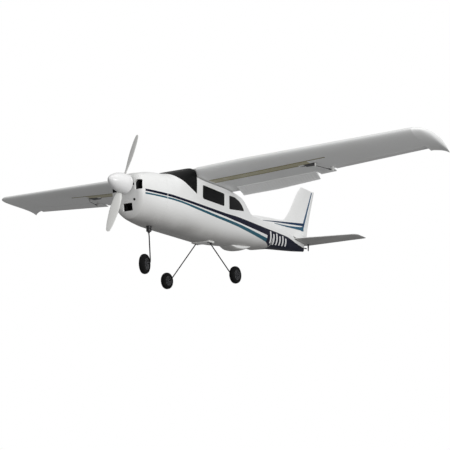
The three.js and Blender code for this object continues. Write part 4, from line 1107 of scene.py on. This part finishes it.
# ------------------------------------------------------------------ undercarriage
def tyre_profile(radius, width):
    """Rounded section of a light foam tyre, as (radius, along), from inside round to inside."""
    inner, half = radius * 0.6, width / 2
    shoulder = inner * 1.2
    crown_points = [(shoulder + (radius - shoulder) * max(math.cos(a), 0) ** 0.62, half * math.sin(a))
                    for a in steps(-math.pi / 2, math.pi / 2, 16)]
    return [(inner, -half * 0.86), (inner * 1.06, -half * 0.98), *crown_points,
            (inner * 1.06, half * 0.98), (inner, half * 0.86)]


def treaded(radius, width, axis_at):
    """The tyre with cross grooves on its shoulders and a groove round each side of its crown."""
    profile, sides = tyre_profile(radius, width), 144
    rows = []
    for k in range(sides):
        a = 2 * math.pi * k / sides
        groove = 1 if k % 6 < 2 else 0
        row = []
        for r, d in profile:
            shoulder = 0.2 < abs(d) / (width / 2) < 0.8 and r > radius * 0.86
            around = abs(abs(d) / (width / 2) - 0.19) < 0.08 and r > radius * 0.9
            r -= 0.75 if shoulder and groove else (0.6 if around else 0)
            row.append(Vector(axis_at) + Vector((r * math.sin(a), d, r * math.cos(a))))
        rows.append(row)
    return loft(rows, ring=True)


def wheel(name, radius, width, at, place=Matrix.Identity(4)):
    """A wheel whose body has its name, turned by place after it is built straight."""
    tyre = treaded(radius, width, at)
    tyre.data.transform(place)
    piece(tyre, f"{name}_tyre.tread", name, RUBBER, f"{name}_tyre", "tyre_rubber", 50)
    rim, half = radius * 0.6 - GAP, width / 2
    outer_half = [(rim, half * 0.8), (rim - 0.3, half * 0.86), (rim - 1.6, half * 0.8),
                  (rim - 2.4, half * 0.42),
                  (4.5, half * 0.5), (4.5, half + 0.6), (4.1, half + 1), (1.95, half + 1)]
    inner_half = [(r, -d) for r, d in reversed(outer_half)]
    hub = lathe(inner_half + outer_half, 64, "y", at, closed=True)
    middle, holes = (4.5 + rim - 2.4) / 2, []
    for k in range(5):
        a = 2 * math.pi * (k + 0.5) / 5
        spot = Vector(at) + Vector((middle * math.sin(a), 0, middle * math.cos(a)))
        holes.append(rod("y", (rim - 7) * 0.42, width * 2, spot, 24))
    hub = soften(carve(hub, *holes), 0.25, 45, 1)
    hub.data.transform(place)
    piece(hub, f"{name}_hub.spokes", name, HUB_PLASTIC, f"{name}_hub", "hub_plastic")


def collar(at, axis="y"):
    """A wheel collar with its grub screw's hole."""
    profile = [(1.62, -1.6), (2.9, -1.6), (3.2, -1.3), (3.2, 1.3), (2.9, 1.6), (1.62, 1.6)]
    ring = lathe(profile, 32, axis, at, closed=True)
    return carve(ring, rod("z", 0.7, 3, (at[0], at[1], at[2] + 3), 12))


def build_nose_gear():
    post = Vector((NOSE_POST_X, 0, 0)) * MM
    steered = (Matrix.Translation(post) @ Matrix.Rotation(math.radians(STEER_REST), 4, "Z")
               @ Matrix.Translation(-post))
    axle_x, _, axle_z = NOSE_WHEEL
    leg = tube(filleted([(NOSE_POST_X, 0, 158), (NOSE_POST_X, 0, 110), (410, 1.5, 104), (430, 14.5, 34),
                         (431, 14, 28.5), (axle_x, 11, axle_z), (axle_x, -12, axle_z)], 6), WIRE_RADIUS, 20)
    for part, name, paint, stands_for in (
            (leg, "nose_gear_leg.wire", WIRE_STEEL, "nose_gear_leg"),
            (collar((axle_x, -10.6, axle_z)), "nose_axle_collar", SCREW_STEEL, ()),
            (collar((NOSE_POST_X, 0, 112.2), "z"), "nose_steer_collar", SCREW_STEEL, ())):
        part.data.transform(steered)
        piece(part, name, "nose_leg", paint, stands_for, "spring_steel")
    sleeve = lathe([(2.05, 114.5), (6, 114.5), (7, 115.9), (7, 121), (6.2, 122.4), (6.2, 124), (7, 125.4),
                    (7, 128.6), (6.4, 129.6), (3.6, 130), (3.6, 149), (2.05, 149)],
                   48, "z", (NOSE_POST_X, 0, 0), closed=True)
    piece(sleeve, "nose_gear_mount.sleeve", "airframe", BLACK_PLASTIC, "nose_gear_mount", "black_plastic")
    wheel("nose_wheel", NOSE_RADIUS, WHEEL_WIDTH, NOSE_WHEEL, steered)


def slotted_screw(x, y):
    dome = lathe([(0, 0.9), (1.4, 0.9), (1.4, 0.2), (2.5, 0), (2.4, -0.8), (1.4, -1.4), (0, -1.6)],
                 24, "z", (x, y, 124.6))
    return carve(dome, box(x - 1.4, x + 1.4, y - 0.25, y + 0.25, 122.5, 123.9),
                 box(x - 0.25, x + 0.25, y - 1.4, y + 1.4, 122.5, 123.9))


def build_main_gear():
    axle_x, wheel_y, axle_z = MAIN_WHEEL
    path = filleted([(154, 6, 128), (154, 19, 128), (154.5, 23, 125.5), (164, 98, 31), (axle_x, 101, 26),
                     (axle_x, 105.5, axle_z), (axle_x, 127, axle_z)], 5)
    leg, groove = tube(path, WIRE_RADIUS, 20), tube(path, WIRE_RADIUS + GAP, 20)
    plate_tools = [groove, flip(groove), *[rod("z", 1.6, 20, (x, y, 128), 20) for x, y in PLATE_SCREWS]]
    bed = carve(block(140, 168, -30, 30, 124.5, 131, 1.0), *plate_tools)
    piece(bed, "main_gear_plate.bed", "airframe", NYLON, "main_gear_plate", "white_plastic")
    screws = gather([slotted_screw(x, y) for x, y in PLATE_SCREWS])
    piece(screws, "main_gear_screws", "airframe", SCREW_STEEL, slot="spring_steel")
    for word, side in SIDES:
        piece(on_side(leg, side), f"main_gear_leg_{word}.wire", "airframe", WIRE_STEEL,
              f"main_gear_leg_{word}",
              "spring_steel")
        piece(collar((axle_x, side * 125.3, axle_z)), f"main_axle_collar_{word}", "airframe", SCREW_STEEL,
              slot="spring_steel")
        wheel(f"main_wheel_{word}", MAIN_RADIUS, WHEEL_WIDTH, (axle_x, side * wheel_y, axle_z))


# ------------------------------------------------------------------ spinner, propeller, motor
BLADE = [(6, 9, 0.9, 7), (22, 12, 0.8, 6.5), (40, 20, 0.6, 5), (70, 24, 0.42, 3.6), (100, 20, 0.32, 2.6),
         (120, 13, 0.27, 1.8), (127, 5, 0.25, 1.2)]
BLADE_LEAN = math.radians(-20)


PROPELLER_PLACE = (Matrix.Translation(Vector((PROPELLER_X, 0, THRUST_Z)) * MM)
                   @ Matrix.Rotation(BLADE_LEAN, 4, "X"))


def build_propeller():
    width, twist, thick = (smooth([(row[0], row[k]) for row in BLADE]) for k in (1, 2, 3))
    rows = []
    for r in [*steps(6, 116, 44), 118, 120, 122, 124, 125.5, 126.5, 126.95]:
        tip = math.sqrt(max(0.02, 1 - max(0, (r - 119) / 8) ** 2))
        wide, deep = width(min(r, 120)) * (tip if r > 119 else 1), thick(r) * (tip if r > 122 else 1)
        c, s, row = math.cos(twist(r)), math.sin(twist(r)), []
        for k in range(28):
            a = 2 * math.pi * k / 28
            u, v = math.cos(a) * wide / 2, math.sin(a) * deep / 2 * (1.0 if math.sin(a) > 0 else 0.55)
            row.append(Vector((u * s + v * c, u * c - v * s, r)))
        rows.append(row)
    blade = loft(rows)
    other = twin(blade)
    other.data.transform(Matrix.Rotation(math.pi, 4, "X"))
    disc = soften(rod("x", 9, 12, (0, 0, 0), 48), 0.8, 50)
    prop = carve(weld(disc, blade, other), rod("x", 2.85, 30, (0, 0, 0), 32))
    prop.data.transform(PROPELLER_PLACE)
    piece(prop, "propeller.blades", "propeller_unit", NYLON, "propeller", "white_plastic", 50)


def cone(share, thinner=0):
    """The spinner's (radius, along) at a share of its length."""
    return SPINNER_RADIUS * (1 - share ** 2) ** 0.62 - thinner, SPINNER_LENGTH * share


def build_spinner():
    rim = [(26, 0), (26, 2.2), (25.6, 2.4), (25.6, 2.9), cone(0.05)]
    outside = [cone(share) for share in (*steps(0.1, 0.8, 14), 0.84, 0.88, 0.91, 0.94, 0.96, 0.975, 0.987,
                                         0.995, 1)]
    inside = [cone(share, 2.2) for share in (0.86, 0.8, 0.72, 0.64, 0.55, 0.45, 0.35, 0.25, 0.15, 0.08, 0)]
    shell = lathe([*rim, *outside, (0, 50), *inside], 96, "x", (SPINNER_X, 0, THRUST_Z), closed=True)
    slots = box(-12, 8, -8.2, 8.2, -40, 40)
    slots.data.transform(PROPELLER_PLACE)
    piece(soften(carve(shell, slots), 0.3, 60, 1), "spinner.cone", "propeller_unit", WHITE_SHELL, "spinner",
          "white_plastic")


def build_motor_bell():
    bell = lathe([(0, 478), (2.5, 478), (2.5, 492), (12, 492), (12, 471), (14, 471), (14, 473),
                  (13.7, 473.4),
                  (13.7, 493), (14, 493.4), (14, 495), (11, 497), (2.5, 497), (2.5, 531.6), (2.1, 532),
                  (0, 532)],
                 64, "x", (0, 0, THRUST_Z))
    vents = [rod("x", 2.3, 12, (497, 7.6 * math.sin(a), THRUST_Z + 7.6 * math.cos(a)), 20)
             for a in steps(0, math.pi * 5 / 3, 5)]
    piece(carve(bell, *vents), "motor_bell.can", "propeller_unit", BELL_METAL, "motor_bell", "motor_metal")


# ------------------------------------------------------------------ equipment inside
def build_battery():
    cells = [block(290, 394, -17, 17, 138.6, 164, 3.2), block(289.9, 291.2, -15, 15, 141, 161, 0.5)]
    piece(gather(cells), "battery.cells", "airframe", BLUE_WRAP, "battery", "battery_wrap")
    band, inside = box(333, 351, -17.9, 17.9, 138.2, 164.3), box(332, 352, -17.2, 17.2, 138.4, 163.9)
    strap = soften(carve(band, inside), 0.15, 50, 1)
    piece(strap, "battery_strap", "airframe", BLACK_LEAD, slot="black_plastic")
    for name, y, paint in (("red", 4, RED_LEAD), ("black", -4, BLACK_LEAD)):
        lead = tube(filleted([(290, y, 152), (276, y, 153), (268, y * 1.4, 166), (282, y * 1.5, 180),
                              (318, y * 1.1, 172), (331, y, 169)], 9), 1.5, 12)
        piece(lead, f"battery_lead_{name}", "airframe", paint, slot="heat_shrink")
    plug = block(292, 308, -8.5, 8.5, 174.6, 182, 1.2)
    piece(plug, "battery_plug", "airframe", YELLOW_PLASTIC, slot="heat_shrink")


def build_electronics():
    control = block(330, 385, -13, 13, 164.5, 174, 2.4)
    piece(control, "speed_controller.wrap", "airframe", SHRINK, "speed_controller", "heat_shrink")
    radio = block(210, 256, -12, 12, 138.5, 152.5, 1.2)
    rails = [block(254.6, 258.4, y - 1.3, y + 1.3, 142, 150, 0.3) for y in (-8, -4, 0, 4, 8)]
    piece(gather([radio, *rails]), "receiver.case", "airframe", BLACK_PLASTIC, "receiver",
          "black_plastic")
    whisker = tube(filleted([(211, 10, 150), (200, 14, 152), (180, 30, 154), (150, 40, 158)], 10), 0.5, 8)
    piece(whisker, "receiver_antenna", "airframe", BLACK_LEAD, slot="black_plastic")


def build_servos():
    case = [block(122.6, 145.6, -5.5, 5.5, 238, 262, 0.9), block(121.4, 146.8, -5.2, 5.2, 254.4, 256, 0.3)]
    piece(gather(case), "flap_servo.case", "airframe", CASE_PLASTIC, "flap_servo", "servo_case")
    for name, y in (("elevator", 20), ("rudder", -20)):
        case = [block(40, 63, y - 6, y + 6, 147.5, 171.5, 0.9),
                block(35, 68, y - 6, y + 6, 163.5, 165.5, 0.4),
                soften(rod("z", 5, 8, (46, y, 171.5), 40), 0.5, 50)]
        piece(gather(case), f"{name}_servo.case", "airframe", CASE_PLASTIC, f"{name}_servo",
              "servo_case")
        route = [(62.5, y, 152), (74, y, 150), (110, y * 0.6, 148), (170, y * 0.5, 145),
                 (211, y * 0.3, 144)]
        lead = tube(filleted(route, 14), 1.1, 10)
        piece(lead, f"{name}_servo_lead", "airframe", BLACK_LEAD, slot="servo_case")
        end = y - sign(y) * 14
        taper = loft([[(46 - w, at, 176.9), (46 + w, at, 176.9), (46 + w, at, 178.7), (46 - w, at, 178.7)]
                      for at, w in ((y, 3), (end, 1.6))])
        arm = weld(rod("z", 4, 4, (46, y, 177.9), 32), taper)
        holes = [rod("z", 0.6, 9, (46, mix(y, end, t), 178), 12) for t in (0.62, 0.8, 0.93)]
        arm = soften(carve(arm, *holes), 0.2, 50, 1)
        piece(arm, f"{name}_servo_arm.lever", f"{name}_arm", NYLON, f"{name}_servo_arm", "white_plastic")


def paint_kept_nodes():
    """Gives the CAD nodes that carry over a better material."""
    for node, paint in (("wing_joiner_tube", CARBON), ("flap_torque_rod_left", WIRE_STEEL),
                        ("flap_torque_rod_right", WIRE_STEEL), ("firewall", PLYWOOD),
                        ("motor_stator", COPPER)):
        obj = NODES[node]
        obj.data.materials.clear()
        obj.data.materials.append(paint)


# ------------------------------------------------------------------ stage, light and camera
FLOOR_Z, FLOOR_RADIUS = -2.4, 17                        # metres
DOME_LOW, DOME_HIGH = 0.22, 0.46                        # strength of the sky below and above
MIDDLE = Vector((0, 0, 0.25))
LIGHTS = [("key", (0.6, 0.5, 2), 3.5, 36, 2.5),         # name, direction, metres away, watts, size
          ("side", (0.45, 0.85, -0.04), 4, 88, 1.6)]
CAMERA_AT, CAMERA_LENS = (2.1296, 1.3015, -0.3205), 67.59
CAMERA_RIGHT, CAMERA_UP = Vector((-0.527, 0.8498, 0.0038)), Vector((0.1774, 0.1056, 0.9784))
CAMERA_AHEAD = Vector((-0.8311, -0.5163, 0.2065))


def area_light(name, at, energy, size):
    lamp = bpy.data.lights.new(name, "AREA")
    lamp.energy, lamp.size = energy, size
    facing = (at - MIDDLE).to_track_quat("Z", "Y").to_matrix().to_4x4()
    new_object(name, lamp).matrix_world = Matrix.Translation(at) @ facing


def build_floor():
    bm = bmesh.new()
    bmesh.ops.create_circle(bm, cap_ends=True, segments=128, radius=FLOOR_RADIUS)
    mesh = bpy.data.meshes.new("studio_floor")
    bm.to_mesh(mesh)
    bm.free()
    floor = new_object("studio_floor", mesh)
    floor.location = (0, 0, FLOOR_Z)
    for rays in ("diffuse", "glossy", "shadow"):
        setattr(floor, f"visible_{rays}", False)
    paint = Paint("pale_floor", (0.80, 0.80, 0.80), 0.9, Emission_Color=(0.9, 0.9, 0.9, 1),
                  Emission_Strength=0.45)
    paint.vary(paint.noise(2.0, 2), (0.77, 0.77, 0.77), 0.5)
    mesh.materials.append(paint.mat)


def build_sky():
    """A dome that is brighter above. The camera sees plain white where it sees past the floor."""
    world = bpy.data.worlds.new("studio")
    SCENE.world = world
    world.use_nodes = True
    nodes, links = world.node_tree.nodes, world.node_tree.links
    around, height = nodes.new("ShaderNodeTexCoord"), nodes.new("ShaderNodeSeparateXYZ")
    dome, backdrop = nodes.new("ShaderNodeMapRange"), nodes.new("ShaderNodeBackground")
    seen, either = nodes.new("ShaderNodeLightPath"), nodes.new("ShaderNodeMixShader")
    dome.interpolation_type = "SMOOTHSTEP"
    for socket, value in (("From Min", -0.35), ("From Max", 0.45), ("To Min", DOME_LOW),
                          ("To Max", DOME_HIGH)):
        dome.inputs[socket].default_value = value
    links.new(around.outputs["Generated"], height.inputs[0])
    links.new(height.outputs["Z"], dome.inputs["Value"])
    links.new(dome.outputs["Result"], nodes["Background"].inputs["Strength"])
    nodes["Background"].inputs["Color"].default_value = (1, 1, 1, 1)
    backdrop.inputs["Color"].default_value = (1, 1, 1, 1)
    links.new(seen.outputs["Is Camera Ray"], either.inputs[0])
    links.new(nodes["Background"].outputs[0], either.inputs[1])
    links.new(backdrop.outputs[0], either.inputs[2])
    links.new(either.outputs[0], nodes["World Output"].inputs["Surface"])


def build_lights():
    for name, away, distance, power, size in LIGHTS:
        area_light(name, MIDDLE + Vector(away).normalized() * distance, power, size)


def build_camera():
    camera = bpy.data.cameras.new("camera")
    camera.lens, camera.sensor_width = CAMERA_LENS, 36
    holder = new_object("camera", camera)
    turn = Matrix((CAMERA_RIGHT, CAMERA_UP, -CAMERA_AHEAD)).transposed().to_4x4()
    holder.matrix_world = Matrix.Translation(CAMERA_AT) @ turn
    SCENE.camera = holder
    SCENE.view_settings.view_transform = "Standard"
    SCENE.view_settings.look = "None"


build_fuselage()
build_cowl()
build_films()
build_wings()
build_tail()
build_nose_gear()
build_main_gear()
build_propeller()
build_spinner()
build_motor_bell()
build_battery()
build_electronics()
build_servos()
paint_kept_nodes()
build_floor()
build_sky()
build_lights()
build_camera()
for leftover in SCRATCH:
    bpy.data.objects.remove(leftover)
